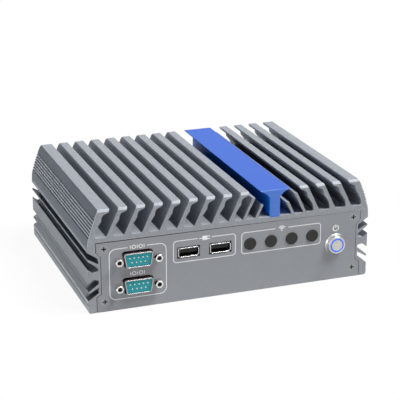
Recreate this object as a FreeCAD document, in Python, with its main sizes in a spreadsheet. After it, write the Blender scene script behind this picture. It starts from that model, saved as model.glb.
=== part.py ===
import FreeCAD, Part
import math
import os
import re
import Sketcher

# Driving sizes in millimetres and degrees. X runs to the right, Y to the rear and Z up, seen from the front.
SIZES = {
    # Extruded housing: the section that runs from front to rear
    "depth": 142.0,
    "height": 65.4,
    "side_face": 92.5,
    "base_radius": 1.6,
    "wall_face": 80.6,
    "ceiling": 44.1,
    "channel_floor": 48.1,
    # Side slots, measured up and down from the middle of the rib between them
    "slot_middle": 23.9,
    "slot_end": 85.8,
    "rib_half": 4.7,
    "rib_notch": 3.3,
    "rib_notch_drop": 2.55,
    "slot_inner_half": 2.85,
    "slot_gap_low": 2.2,
    "slot_fin_root": 2.4,
    "slot_gap_high": 3.5,
    "slot_fin_rise": 4.5,
    "slot_fin_tip": 1.5,
    "slot_tip_round": 0.5,
    "slot_lip_rise": 4.6,
    "groove_height": 5.5,
    "groove_half": 0.4,
    "groove_depth": 0.5,
    # Shoulders: a tight arc above the side, then a wide one with fine grooves up to the top
    "bulge_start": 41.5,
    "bulge_radius": 28.0,
    "bulge_turn": 13.6,
    "shoulder_radius": 75.0,
    "ridge_first": 14.1,
    "ridge_step": 1.46,
    "ridge_count": 7,
    "ridge_radius": 0.48,
    # Leaning cooling fins with a lip along the top
    "wall_cap": 7.33,
    "fin_pitch": 11.12,
    "fin_lean": 0.484,
    "cap_width": 5.5,
    "tip_thick": 2.1,
    "tip_slope": 0.9,
    "cap_root_run": 4.2,
    "cap_root_drop": 3.5,
    "scallop_share": 0.31,
    "scallop_web": 2.9,
    "crest_share": 0.42,
    "crest_web": 3.6,
    "waist_share": 0.62,
    "waist_web": 2.8,
    "hollow_share": 0.76,
    "hollow_web": 2.75,
    "foot_web": 3.7,
    "foot_radius": 1.3,
    "root_sink": 0.6,
    "fin_chamfer": 1.2,
    # Plain short fins beside the bar
    "short_fin_thick": 2.0,
    "near_fin_foot": 12.4,
    "near_fin_height": 8.0,
    "far_fin_foot": 20.4,
    "far_fin_height": 13.3,
    # Blue T bar
    "bar_centre": 28.0,
    "bar_clear": 16.0,
    "bar_top": 65.2,
    "bar_width": 19.3,
    "bar_edge": 0.5,
    "bar_stem": 6.7,
    "bar_neck": 5.0,
    "bar_sweep": 0.5,
    "bar_seat": 0.8,
    "bar_chamfer": 0.4,
    "seat_fit": 0.05,
    # Flush end plates
    "plate_thick": 2.5,
    "plate_half": 87.1,
    "plate_top": 44.5,
    "plate_step_high": 38.5,
    "plate_step_low": 35.6,
    "plate_waist": 84.2,
    "plate_flare_high": 12.0,
    "plate_flare_low": 9.8,
    "seam": 0.3,
    # Countersunk screws of the plates and the cover
    "screw_across": 82.2,
    "screw_low": 6.4,
    "screw_high": 40.5,
    "screw_rib": 3.6,
    "screw_radius": 1.5,
    "screw_head": 2.75,
    "screw_head_deep": 1.6,
    "screw_length": 10.0,
    "screw_fit": 0.05,
    "cross_width": 0.7,
    "cross_span": 3.0,
    "cross_deep": 1.0,
    # Bottom cover and its threaded mounting nuts
    "cover_thick": 2.0,
    "cover_screw_across": 83.6,
    "cover_screw_along": 44.0,
    "cover_screw_length": 8.0,
    "mount_pitch": 75.0,
    "mount_thread": 2.0,
    "nut_pilot": 3.0,
    "nut_flange": 4.2,
    "nut_rise": 3.5,
    # Serial ports
    "serial_across": 61.4,
    "serial_high": 32.05,
    "serial_low": 14.95,
    "serial_gap": 39.0,
    "shell_width": 17.0,
    "shell_height": 9.1,
    "shell_corner": 1.5,
    "shell_lean": 10.0,
    "shell_wall": 0.5,
    "shell_proud": 3.2,
    "shell_clear": 0.8,
    "flange_width": 30.8,
    "flange_height": 12.5,
    "flange_thick": 1.0,
    "insert_sunk": 0.8,
    "insert_width": 19.2,
    "insert_height": 10.6,
    "insert_deep": 6.0,
    "insert_fit": 0.05,
    "pin_pitch": 2.77,
    "pin_row": 2.84,
    "pin_radius": 0.4,
    "pin_long": 0.4,
    "jack_spacing": 24.99,
    "jack_flats": 4.4,
    "jack_proud": 4.8,
    "jack_thread": 1.42,
    "jack_thread_deep": 4.2,
    "jack_stud": 8.0,
    "jack_hole": 1.6,
    "serial_board_margin": 1.4,
    # Front USB sockets
    "usb_left": -28.7,
    "usb_right": -8.0,
    "usb_height_up": 31.8,
    "usb_width": 13.0,
    "usb_tall": 5.7,
    "usb_wall": 0.45,
    "usb_lip_width": 13.5,
    "usb_lip_tall": 6.1,
    "usb_lip_deep": 0.8,
    "usb_deep": 14.0,
    "usb_proud": 0.4,
    "usb_notch": 1.0,
    "usb_clear": 0.55,
    "tongue_width": 11.1,
    "tongue_thick": 1.9,
    "tongue_sunk": 1.2,
    "tongue_base": 3.0,
    "tongue_lift": 0.55,
    "tongue_fit": 0.05,
    # Antenna holes and their plugs
    "antenna_first": 11.7,
    "antenna_pitch": 14.0,
    "antenna_up": 31.7,
    "antenna_hole": 3.25,
    "plug_radius": 4.0,
    "plug_head": 0.7,
    "plug_round": 0.4,
    "plug_fit": 0.05,
    "plug_bulb": 3.7,
    "plug_bulb_thick": 1.0,
    # Push button
    "button_across": 70.0,
    "button_up": 24.0,
    "bezel_radius": 7.0,
    "bezel_rim": 0.7,
    "bezel_step": 0.4,
    "bezel_nose": 5.6,
    "bezel_proud": 3.0,
    "barrel_radius": 5.95,
    "barrel_long": 12.0,
    "barrel_fit": 0.1,
    "counterbore": 5.3,
    "lip_deep": 2.0,
    "cap_radius": 4.85,
    "cap_fit": 0.08,
    "cap_proud": 3.2,
    "collar_radius": 5.2,
    "collar_thick": 1.0,
    "collar_gap": 0.05,
    "stem_radius": 2.0,
    "stem_long": 1.6,
    "ring_outer": 4.45,
    "ring_inner": 3.65,
    "ring_deep": 1.2,
    "ring_fit": 0.02,
    "button_nut_flats": 14.0,
    "button_nut_thick": 2.2,
    "spring_radius": 3.1,
    "spring_wire": 0.3,
    "spring_turns": 3.5,
    "spring_gap": 0.05,
    "contact_plug_long": 2.5,
    "contact_long": 6.0,
    "terminal_long": 4.0,
    "terminal_wide": 2.8,
    "terminal_thick": 0.8,
    # Boards and what they carry
    "board_thick": 1.6,
    "board_side_gap": 4.6,
    "board_edge_gap": 1.0,
    "notch_left": 43.0,
    "notch_rear": 5.0,
    "notch_room": 1.4,
    "notch_right": 62.0,
    "notch_right_deep": 20.0,
    "standoff_across": 70.0,
    "standoff_along": 44.0,
    "standoff_flats": 5.0,
    "board_screw_head": 2.75,
    "board_screw_head_tall": 2.0,
    "board_screw_reach": 5.0,
    "cpu_across": 20.0,
    "cpu_along": -5.0,
    "cpu_side": 25.0,
    "cpu_thick": 1.3,
    "pad_side": 28.0,
    "pad_thick": 0.8,
    "spreader_width": 60.0,
    "spreader_long": 50.0,
    "memory_across": 30.0,
    "memory_along": -36.0,
    "memory_width": 67.6,
    "memory_long": 30.0,
    "memory_thick": 1.1,
    "memory_drop": 2.9,
    "memory_socket_width": 73.0,
    "memory_socket_long": 6.5,
    "memory_socket_tall": 4.8,
    "memory_bite": 3.0,
    "chip_long": 11.0,
    "chip_wide": 12.0,
    "chip_thick": 1.0,
    "chip_column_pitch": 15.6,
    "chip_row_pitch": 20.0,
    "storage_across": -25.0,
    "storage_along": -36.0,
    "storage_width": 22.0,
    "storage_long": 80.0,
    "storage_thick": 0.8,
    "storage_drop": 2.4,
    "storage_socket_width": 24.0,
    "storage_socket_long": 8.7,
    "storage_socket_tall": 3.4,
    "storage_bite": 3.5,
    "cell_across": -52.0,
    "cell_along": 10.0,
    "cell_radius": 10.0,
    "cell_thick": 3.2,
    # Sockets along the rear edge of the mainboard
    "socket_proud": 0.4,
    "socket_clear": 0.3,
    "rear_usb_across": 4.0,
    "rear_usb_width": 14.4,
    "rear_usb_tall": 14.8,
    "rear_usb_deep": 17.5,
    "rear_usb_mouth_width": 12.5,
    "rear_usb_mouth_tall": 5.1,
    "rear_usb_mouth_deep": 13.0,
    "rear_usb_pitch": 7.3,
    "lan_first": 20.5,
    "lan_pitch": 17.5,
    "lan_width": 16.0,
    "lan_tall": 13.5,
    "lan_deep": 21.0,
    "lan_mouth_width": 11.8,
    "lan_mouth_tall": 7.0,
    "lan_mouth_up": 4.6,
    "lan_mouth_deep": 13.0,
    "lan_latch_width": 6.0,
    "lan_latch_drop": 2.6,
    "hdmi_across": 56.0,
    "hdmi_width": 15.0,
    "hdmi_tall": 5.9,
    "hdmi_wall": 0.5,
    "hdmi_deep": 11.0,
    "hdmi_floor": 2.0,
    "hdmi_tongue_width": 10.5,
    "hdmi_tongue_thick": 1.0,
    "hdmi_tongue_long": 6.5,
    "dc_across": 71.0,
    "dc_width": 9.0,
    "dc_tall": 11.0,
    "dc_deep": 14.0,
    "dc_mouth": 3.2,
    "dc_mouth_deep": 10.0,
    "dc_pin": 1.0,
    "dc_pin_sunk": 1.5,
}

doc = FreeCAD.newDocument("fanless_pc")
sheet = doc.addObject("Spreadsheet::Sheet", "Sizes")
for row, (alias, value) in enumerate(SIZES.items(), start=1):
    sheet.set(f"A{row}", alias.replace("_", " "))
    sheet.set(f"B{row}", str(value))
    sheet.setAlias(f"B{row}", alias)
doc.recompute()

# Sizes that follow from the driving ones, as expressions on the sheet
FRONT = "-(depth / 2)"
REAR = "(depth / 2)"
FRONT_BACK = f"({FRONT} + plate_thick)"
REAR_BACK = f"({REAR} - plate_thick)"
FIN_TALL = "(height - channel_floor)"
SHOULDER_X = "(side_face - bulge_radius + (bulge_radius - shoulder_radius) * cos(bulge_turn))"
SHOULDER_Z = "(bulge_start + (bulge_radius - shoulder_radius) * sin(bulge_turn))"
SHOULDER_TURN = f"asin((height - {SHOULDER_Z}) / shoulder_radius)"
TOP_CORNER = f"({SHOULDER_X} + shoulder_radius * cos({SHOULDER_TURN}))"
WALL_TIP = f"({TOP_CORNER} - wall_cap)"
BOARD_HALF = "(wall_face - board_side_gap)"
BOARD_TOP = "(usb_height_up - usb_tall / 2)"
BOARD_UNDER = f"({BOARD_TOP} - board_thick)"
COVER_HALF_LONG = "(depth / 2 - plate_thick - seam)"
FLANGE_BACK = "(plate_thick + flange_thick)"
INSERT_BACK = "(plate_thick + flange_thick + insert_deep)"
CAP_BACK = "lip_deep + collar_gap + collar_thick"

PLANE_AXES = {
    "XY_Plane": lambda x, y, z: (x, y, z),
    "XZ_Plane": lambda x, y, z: (x, z, f"-({y})"),
    "YZ_Plane": lambda x, y, z: (y, z, x),
}
PIECES = []


def bound(expression):
    """The expression with each size written as a cell of the sheet."""
    def as_cell(word):
        return f"Sizes.{word[0]}" if word[0] in SIZES else word[0]

    return re.sub(r"[a-z][a-z_]*", as_cell, expression)


def number(expression):
    """The value of an expression, in millimetres."""
    return float(sheet.evalExpression(bound(expression)))


def new_body(label):
    """A body with its own label; it may hold a group of separate like solids."""
    body = doc.addObject("PartDesign::Body", label)
    body.Label = label
    body.AllowCompound = True
    PIECES.append(body)
    return body


def origin_feature(body, role):
    """The origin plane or axis of a body that has this role."""
    return next(feature for feature in body.Origin.OriginFeatures if feature.Role == role)


def sketch_on(body, plane, x="0", y="0", z="0"):
    """An empty sketch parallel to an origin plane, with its own origin at the point x, y, z."""
    sketch = body.newObject("Sketcher::SketchObject", f"{body.Label}_sketch")
    sketch.AttachmentSupport = (origin_feature(body, plane), [""])
    sketch.MapMode = "FlatFace"
    for axis, expression in zip("xyz", PLANE_AXES[plane](x, y, z)):
        sketch.setExpression(f".AttachmentOffset.Base.{axis}", bound(expression))
    return sketch


def bind_point(sketch, geometry, end, x, y, constraints):
    """Note the two distances from the sketch's origin that hold a point."""
    constraints.append((Sketcher.Constraint("DistanceX", -1, 1, geometry, end, number(x)), x))
    constraints.append((Sketcher.Constraint("DistanceY", -1, 1, geometry, end, number(y)), y))


def add_constraints(sketch, constraints):
    """Put constraints on a sketch and tie each that has an expression to the sheet."""
    first = sketch.ConstraintCount
    sketch.addConstraint([constraint for constraint, _ in constraints])
    for offset, (_, expression) in enumerate(constraints):
        if expression is not None:
            sketch.setExpression(f"Constraints[{first + offset}]", bound(expression))


def arc_through(start, middle, end):
    """A counterclockwise arc through three points, and whether it runs from end to start."""
    centre = Part.Arc(start, middle, end).toShape().Curve.Center
    turn = (middle - start).cross(end - middle).z
    first, last = (start, end) if turn > 0 else (end, start)
    angles = [math.atan2(point.y - centre.y, point.x - centre.x) for point in (first, last)]
    if angles[1] < angles[0]:
        angles[1] += 2 * math.pi
    whole = Part.Circle(centre, FreeCAD.Vector(0, 0, 1), (start - centre).Length)
    return Part.ArcOfCircle(whole, angles[0], angles[1]), turn < 0


def outline(sketch, points):
    """A closed outline. A point is (x, y), reached by a line, or (x, y, via_x, via_y), reached by an arc."""
    spots = [FreeCAD.Vector(number(point[0]), number(point[1]), 0) for point in points]
    first = sketch.GeometryCount
    ends = []
    vias = []
    for index, point in enumerate(points):
        start, end = spots[index - 1], spots[index]
        if len(point) == 2:
            sketch.addGeometry(Part.LineSegment(start, end))
            ends.append((1, 2))
        else:
            via = FreeCAD.Vector(number(point[2]), number(point[3]), 0)
            arc, backwards = arc_through(start, via, end)
            sketch.addGeometry(arc)
            ends.append((2, 1) if backwards else (1, 2))
            vias.append((first + index, via, point[2], point[3]))
    constraints = []
    count = len(points)
    for index, point in enumerate(points):
        before = (index - 1) % count
        last, here = (first + before, ends[before][1]), (first + index, ends[index][0])
        constraints.append((Sketcher.Constraint("Coincident", *last, *here), None))
        bind_point(sketch, first + index, ends[index][1], point[0], point[1], constraints)
    for arc, via, via_x, via_y in vias:
        mark = sketch.addGeometry(Part.Point(via), True)
        bind_point(sketch, mark, 1, via_x, via_y, constraints)
        constraints.append((Sketcher.Constraint("PointOnObject", mark, 1, arc), None))
    add_constraints(sketch, constraints)


def circle(sketch, x, y, radius):
    """A circle held by its centre and radius."""
    whole = Part.Circle(FreeCAD.Vector(number(x), number(y), 0), FreeCAD.Vector(0, 0, 1), number(radius))
    index = sketch.addGeometry(whole)
    constraints = []
    bind_point(sketch, index, 3, x, y, constraints)
    constraints.append((Sketcher.Constraint("Radius", index, number(radius)), radius))
    add_constraints(sketch, constraints)


def rectangle(sketch, x, y, width, tall):
    """A rectangle about the centre x, y."""
    left, right = f"{x} - ({width}) / 2", f"{x} + ({width}) / 2"
    low, high = f"{y} - ({tall}) / 2", f"{y} + ({tall}) / 2"
    outline(sketch, [(left, low), (right, low), (right, high), (left, high)])


def hexagon(sketch, x, y, flats):
    """A hexagon about the centre x, y, given by its width across flats."""
    reach = f"({flats}) / 2 / cos(30)"
    turns = range(0, 360, 60)
    outline(sketch, [(f"{x} + {reach} * cos({turn})", f"{y} + {reach} * sin({turn})") for turn in turns])


def pad(body, sketch, length, reverse=False, both_ways=False):
    """Add material along the sketch's normal: to the front from XZ, up from XY."""
    feature = body.newObject("PartDesign::Pad", f"{body.Label}_pad")
    feature.Profile = sketch
    feature.setExpression("Length", bound(length))
    feature.Reversed = reverse
    feature.Midplane = both_ways
    doc.recompute()
    return feature


def pocket(body, sketch, length=None, reverse=False):
    """Remove material against the sketch's normal, or right through both ways where no length is given."""
    before = body.Shape.Volume
    feature = body.newObject("PartDesign::Pocket", f"{body.Label}_pocket")
    feature.Profile = sketch
    if length is None:
        feature.Type = "ThroughAll"
        feature.Midplane = True
    else:
        feature.setExpression("Length", bound(length))
        feature.Reversed = reverse
    doc.recompute()
    if body.Shape.Volume >= before:
        raise ValueError(f"{feature.Label} removes nothing")
    return feature


def revolve(body, sketch, axis="H_Axis"):
    """A full turn of a half profile about an axis of its sketch."""
    feature = body.newObject("PartDesign::Revolution", f"{body.Label}_turned")
    feature.Profile = sketch
    feature.ReferenceAxis = (sketch, [axis])
    feature.Angle = 360
    doc.recompute()
    return feature


def pattern(body, kind, name, originals):
    """A transformation that repeats the given features, or the whole body where none is given."""
    feature = body.newObject(f"PartDesign::{kind}", f"{body.Label}_{name}")
    if originals:
        feature.Originals = originals
    else:
        feature.TransformMode = "Whole shape"
    body.Tip = feature
    return feature


def mirror(body, plane, originals=None):
    """Mirror features, or the whole body, about an origin plane."""
    feature = pattern(body, "Mirrored", "mirror", originals)
    feature.MirrorPlane = (origin_feature(body, plane), [""])
    doc.recompute()
    return feature


def row(body, axis, span, count, reverse=False, originals=None):
    """Repeat features, or the whole body, along an origin axis, with the last copy one span away."""
    feature = pattern(body, "LinearPattern", "row", originals)
    feature.Direction = (origin_feature(body, axis), [""])
    feature.Reversed = reverse
    feature.setExpression("Length", bound(span))
    feature.Occurrences = count
    doc.recompute()
    return feature


def fin_face(side, tip):
    """The inner face of a fin, from the tip of its lip down to the channel floor.

    side is 1 where the lip points to the left and -1 where it points to the right.
    """
    def across(web, drop):
        """A point of the face that lies one web inside the straight outer face."""
        return f"{tip} + {side} * (cap_width + fin_lean * ({drop}) - {web})"

    foot_x = across("foot_web", f"{FIN_TALL} - foot_radius")
    return [
        (f"{tip}", "height"),
        (f"{tip} + {side} * tip_slope", "height - tip_thick"),
        (f"{tip} + {side} * cap_root_run", "height - cap_root_drop"),
        (across("crest_web", f"crest_share * {FIN_TALL}"), f"height - crest_share * {FIN_TALL}",
         across("scallop_web", f"scallop_share * {FIN_TALL}"), f"height - scallop_share * {FIN_TALL}"),
        (across("waist_web", f"waist_share * {FIN_TALL}"), f"height - waist_share * {FIN_TALL}"),
        (foot_x, "channel_floor + foot_radius",
         across("hollow_web", f"hollow_share * {FIN_TALL}"), f"height - hollow_share * {FIN_TALL}"),
        (f"{foot_x} - {side} * foot_radius", "channel_floor",
         f"{foot_x} - {side} * foot_radius * (1 - cos(45))", "channel_floor + foot_radius * (1 - sin(45))"),
    ]


def side_slots():
    """Half of the slotted side, from the middle rib out to the lip, as (x, distance from the middle)."""
    fin_low = "(slot_inner_half + slot_gap_low)"
    fin_high = f"({fin_low} + slot_fin_root)"
    edge = f"({fin_high} + slot_gap_high)"
    tip_low = f"({fin_low} + slot_fin_rise)"
    return [
        ("side_face", "rib_half"),
        ("side_face - rib_notch", "rib_half - rib_notch_drop"),
        ("slot_end", "slot_inner_half"),
        ("slot_end", fin_low),
        ("side_face - slot_tip_round", tip_low),
        ("side_face - slot_tip_round", f"{tip_low} + slot_fin_tip",
         "side_face", f"{tip_low} + slot_fin_tip / 2"),
        ("slot_end", fin_high),
        ("slot_end", edge),
        ("side_face", f"{edge} + slot_lip_rise"),
    ]


def housing_half():
    """The right half of the extrusion's section, counterclockwise from the middle of the ceiling."""
    def mapped(pairs, sign):
        """The (x, distance) pairs above or below the middle of the slotted side, as one flat tuple."""
        return sum(((x, f"slot_middle + {sign} * ({away})") for x, away in pairs), ())

    slots = [(point[:2], point[2:]) for point in side_slots()]
    raised = [mapped([spot] + ([via] if via else []), 1) for spot, via in slots]
    arrivals = [via for _, via in slots[1:]] + [()]
    lower = [mapped([spot] + ([via] if via else []), -1) for (spot, _), via in zip(slots, arrivals)][::-1]
    half_way = f"((bulge_turn * 1deg + {SHOULDER_TURN}) / 2)"
    return [
        ("0", "ceiling"),
        ("wall_face", "ceiling"),
        ("wall_face", "cover_thick"),
        ("plate_half + seam", "cover_thick"),
        ("plate_half + seam", "0"),
        ("side_face - base_radius", "0"),
        ("side_face", "base_radius",
         "side_face - base_radius * (1 - cos(45))", "base_radius * (1 - sin(45))"),
        ("side_face", "groove_height - groove_half"),
        ("side_face - groove_depth", "groove_height"),
        ("side_face", "groove_height + groove_half"),
        *lower,
        *raised,
        ("side_face", "bulge_start"),
        ("side_face - bulge_radius * (1 - cos(bulge_turn))", "bulge_start + bulge_radius * sin(bulge_turn)",
         "side_face - bulge_radius * (1 - cos(bulge_turn / 2))",
         "bulge_start + bulge_radius * sin(bulge_turn / 2)"),
        (TOP_CORNER, "height", f"{SHOULDER_X} + shoulder_radius * cos{half_way}",
         f"{SHOULDER_Z} + shoulder_radius * sin{half_way}"),
        *fin_face(1, WALL_TIP),
        ("0", "channel_floor"),
    ]


def plate_outline(grow):
    """The outline of an end plate, grown by a seam; it is open to the base, so it grows down as well."""
    right = [
        (f"plate_half + {grow}", f"-({grow})"),
        (f"plate_half + {grow}", "plate_flare_low"),
        (f"plate_waist + {grow}", "plate_flare_high"),
        (f"plate_waist + {grow}", "plate_step_low"),
        (f"plate_half + {grow}", "plate_step_high"),
        (f"plate_half + {grow}", f"plate_top + {grow}"),
    ]
    return right + [(f"-({x})", z) for x, z in reversed(right)]


def fin_outline(side, tip):
    """The section of one lipped fin that leans towards the bar."""
    foot_x = f"{tip} + {side} * (cap_width + fin_lean * ({FIN_TALL} + root_sink))"
    face = fin_face(side, tip)
    return [
        (foot_x, "channel_floor - root_sink"),
        (f"{tip} + {side} * cap_width", "height"),
        *face,
        (face[-1][0], "channel_floor - root_sink"),
    ]


def chamfer_ends(body, high, size):
    """Chamfer the top edge of an extruded piece at its front and rear."""
    for end, inward in ((FRONT, 1), (REAR, -1)):
        corner = sketch_on(body, "YZ_Plane", y=end, z=high)
        outline(corner, [("0", "0"), ("0", f"-({size})"), (f"{inward} * {size}", "0")])
        pocket(body, corner)


def make_housing():
    """The body: an extruded channel with slotted sides, grooved shoulders and a field of leaning fins."""
    body = new_body("heatsink_housing")
    section = sketch_on(body, "XZ_Plane")
    outline(section, housing_half())
    pad(body, section, "depth", both_ways=True)

    groove = sketch_on(body, "XZ_Plane", x=SHOULDER_X, z=SHOULDER_Z)
    groove_x, groove_z = "shoulder_radius * cos(ridge_first)", "shoulder_radius * sin(ridge_first)"
    circle(groove, groove_x, groove_z, "ridge_radius")
    cut = pocket(body, groove)
    grooves = pattern(body, "PolarPattern", "grooves", [cut])
    grooves.Axis = (groove, ["N_Axis"])
    grooves.setExpression("Angle", bound("ridge_step * (ridge_count - 1)"))
    grooves.Occurrences = int(SIZES["ridge_count"])
    doc.recompute()
    mirror(body, "YZ_Plane")

    for side in (-1, 1):
        room = f"{WALL_TIP} - bar_clear + {side} * (-bar_centre)"
        count = int(number(room) // SIZES["fin_pitch"])
        fin = sketch_on(body, "XZ_Plane")
        outline(fin, fin_outline(side, f"{side} * ({WALL_TIP} - fin_pitch)"))
        first = pad(body, fin, "depth", both_ways=True)
        row(body, "X_Axis", f"fin_pitch * {count - 1}", count, reverse=side > 0, originals=[first])

    for side in (-1, 1):
        for foot, tall in (("near_fin_foot", "near_fin_height"), ("far_fin_foot", "far_fin_height")):
            short_fin = sketch_on(body, "XZ_Plane")
            low_x = f"bar_centre + {side} * ({foot} + fin_lean * root_sink)"
            high_x = f"bar_centre + {side} * ({foot} - fin_lean * {tall})"
            outline(short_fin, [
                (f"{low_x} - short_fin_thick / 2", "channel_floor - root_sink"),
                (f"{low_x} + short_fin_thick / 2", "channel_floor - root_sink"),
                (f"{high_x} + short_fin_thick / 2", f"channel_floor + {tall}"),
                (f"{high_x} - short_fin_thick / 2", f"channel_floor + {tall}"),
            ])
            pad(body, short_fin, "depth", both_ways=True)

    chamfer_ends(body, "height", "fin_chamfer")
    seat = sketch_on(body, "XZ_Plane")
    rectangle(seat, "bar_centre", "channel_floor", "bar_stem + 2 * seat_fit", "2 * bar_seat")
    pocket(body, seat)

    ribs = sketch_on(body, "XZ_Plane")
    for x, z in panel_screw_places():
        circle(ribs, x, z, "screw_rib")
    pad(body, ribs, "depth", both_ways=True)

    for end, reverse in ((FRONT, False), (REAR, True)):
        recess = sketch_on(body, "XZ_Plane", y=end)
        outline(recess, plate_outline("seam"))
        pocket(body, recess, "plate_thick", reverse)
        threads = sketch_on(body, "XZ_Plane", y=end)
        for x, z in panel_screw_places():
            circle(threads, x, z, "screw_radius + screw_fit")
        pocket(body, threads, "screw_length + 2 * plate_thick", reverse)

    cover_threads = sketch_on(body, "XY_Plane")
    for x, y in corner_places("cover_screw_across", "cover_screw_along"):
        circle(cover_threads, x, y, "screw_radius + screw_fit")
    pocket(body, cover_threads, "cover_screw_length + cover_thick", reverse=True)


def make_top_bar():
    """The blue bar: its flange thins to its edges, and its stem stands in the housing's seat."""
    body = new_body("blue_top_bar")
    section = sketch_on(body, "XZ_Plane", x="bar_centre")
    under = "bar_top - bar_neck"
    middle_x = "(bar_width + bar_stem) / 4 - bar_sweep"
    middle_z = "bar_top - (bar_edge + bar_neck) / 2 + bar_sweep"
    outline(section, [
        ("bar_stem / 2", "channel_floor - bar_seat"),
        ("bar_stem / 2", under),
        ("bar_width / 2", "bar_top - bar_edge", middle_x, middle_z),
        ("bar_width / 2", "bar_top"),
        ("-bar_width / 2", "bar_top"),
        ("-bar_width / 2", "bar_top - bar_edge"),
        ("-bar_stem / 2", under, f"-({middle_x})", middle_z),
        ("-bar_stem / 2", "channel_floor - bar_seat"),
    ])
    pad(body, section, "depth", both_ways=True)
    chamfer_ends(body, "bar_top", "bar_chamfer")


def shell_outline(sketch, x, z, grow):
    """The D outline of a serial port, wide side up, with its corners rounded, grown by an even margin."""
    half = f"(shell_width / 2 + ({grow}) / cos(shell_lean))"
    tall = f"(shell_height / 2 + ({grow}))"
    corner = f"(shell_corner + ({grow}))"
    lean = f"(tan(shell_lean) * {tall})"
    upper, lower = "(90 - shell_lean)", "(90 + shell_lean)"
    right = []
    for sign, angle in ((-1, lower), (1, upper)):
        reach = f"({corner} / tan({angle} / 2))"
        flat_x = f"{half} + {sign} * {lean} - {reach}"
        side_x = f"{flat_x} + {corner} * cos(shell_lean)"
        side_z = f"{sign} * ({tall} - {corner}) - {corner} * sin(shell_lean)"
        middle = f"({sign} * 45 - shell_lean / 2)"
        via = (f"{flat_x} + {corner} * cos{middle}",
               f"{sign} * ({tall} - {corner}) + {corner} * sin{middle}")
        flat = (flat_x, f"{sign} * {tall}")
        right.append([flat, (side_x, side_z), via])
    (low_flat, low_side, low_via), (high_flat, high_side, high_via) = right

    def place(point, side):
        """The point moved to the port's centre, on its right or left side."""
        return f"{x} + {side} * ({point[0]})", f"{z} + ({point[1]})"

    outline(sketch, [
        place(low_flat, 1),
        (*place(low_side, 1), *place(low_via, 1)),
        place(high_side, 1),
        (*place(high_flat, 1), *place(high_via, 1)),
        place(high_flat, -1),
        (*place(high_side, -1), *place(high_via, -1)),
        place(low_side, -1),
        (*place(low_flat, -1), *place(low_via, -1)),
    ])


class End:
    """One end of the housing, front or rear: its face and the direction into the housing."""

    def __init__(self, name, face, inward, ports):
        self.name = name
        self.face = face
        self.inward = inward
        self.rear = inward < 0
        self.ports = ports

    def at(self, distance):
        """The Y position that lies a distance inside the end's face."""
        return f"{self.face} + {self.inward} * ({distance})"


SERIAL_ROWS = ("serial_high", "serial_low")
SERIAL_COLUMNS = ("-serial_across", "(-serial_across + serial_gap)")
FRONT_END = End("front", FRONT, 1, [("upper", SERIAL_COLUMNS[0], "serial_high"),
                                    ("lower", SERIAL_COLUMNS[0], "serial_low")])
REAR_END = End("rear", REAR, -1, [(str(index), x, z) for index, (x, z) in enumerate(
    ((x, z) for x in SERIAL_COLUMNS for z in SERIAL_ROWS), start=1)])


def jack_places(end):
    """The X and Z of each jackscrew of an end."""
    return [(f"{x} + {side} * jack_spacing / 2", z) for _, x, z in end.ports for side in (-1, 1)]


def panel_screw_places():
    """The X and Z of the four screws of an end plate."""
    return [(f"{side} * screw_across", up) for side in (-1, 1) for up in ("screw_low", "screw_high")]


def corner_places(across, along):
    """Four places, mirrored left to right and front to rear."""
    return [(f"{side} * ({across})", f"{end} * ({along})") for side in (-1, 1) for end in (-1, 1)]


def countersink(body, sketch, reverse):
    """Through holes with a countersink for the flat screw heads, one at each circle of the sketch."""
    before = body.Shape.Volume
    holes = body.newObject("PartDesign::Hole", f"{body.Label}_countersinks")
    holes.Profile = sketch
    holes.DepthType = "ThroughAll"
    holes.setExpression("Diameter", bound("2 * (screw_radius + screw_fit)"))
    holes.HoleCutType = "Countersink"
    holes.setExpression("HoleCutDiameter", bound("2 * (screw_head + screw_fit)"))
    sink_angle = "2 * atan((screw_head - screw_radius) / screw_head_deep)"
    holes.setExpression("HoleCutCountersinkAngle", bound(sink_angle))
    holes.Reversed = reverse
    doc.recompute()
    if body.Shape.Volume >= before:
        raise ValueError(f"{holes.Label} removes nothing")


def make_plate(end, cut_sockets):
    """A flush end plate with countersunk corner holes and the cut-outs of its sockets."""
    body = new_body(f"{end.name}_panel")
    section = sketch_on(body, "XZ_Plane", y=end.face)
    outline(section, plate_outline("0"))
    pad(body, section, "plate_thick", reverse=not end.rear)
    holes = sketch_on(body, "XZ_Plane", y=end.face)
    for _, x, z in end.ports:
        shell_outline(holes, x, z, "shell_clear")
    for x, z in jack_places(end):
        circle(holes, x, z, "jack_hole")
    cut_sockets(holes)
    pocket(body, holes)
    corner = sketch_on(body, "XZ_Plane", y=end.face)
    for x, z in panel_screw_places():
        circle(corner, x, z, "screw_radius + screw_fit")
    countersink(body, corner, reverse=end.rear)


def cut_front_sockets(sketch):
    """Cut-outs of the USB sockets, the antenna holes and the push button."""
    width, tall = "usb_lip_width + 2 * usb_clear", "usb_lip_tall + 2 * usb_clear"
    for x in ("usb_left", "usb_right"):
        rectangle(sketch, x, "usb_height_up", width, tall)
    for index in range(4):
        circle(sketch, f"antenna_first + {index} * antenna_pitch", "antenna_up", "antenna_hole")
    circle(sketch, "button_across", "button_up", "barrel_radius + barrel_fit")


REAR_SOCKETS = [
    ("rear_usb_across", "rear_usb_width", "rear_usb_tall"),
    ("lan_first", "lan_width", "lan_tall"),
    ("lan_first + lan_pitch", "lan_width", "lan_tall"),
    ("hdmi_across", "hdmi_width", "hdmi_tall"),
    ("dc_across", "dc_width", "dc_tall"),
]


def cut_rear_sockets(sketch):
    """Cut-outs of the sockets that stand on the mainboard's rear edge."""
    room = "2 * socket_clear"
    for x, width, tall in REAR_SOCKETS:
        rectangle(sketch, x, f"{BOARD_TOP} + {tall} / 2", f"{width} + {room}", f"{tall} + {room}")


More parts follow.
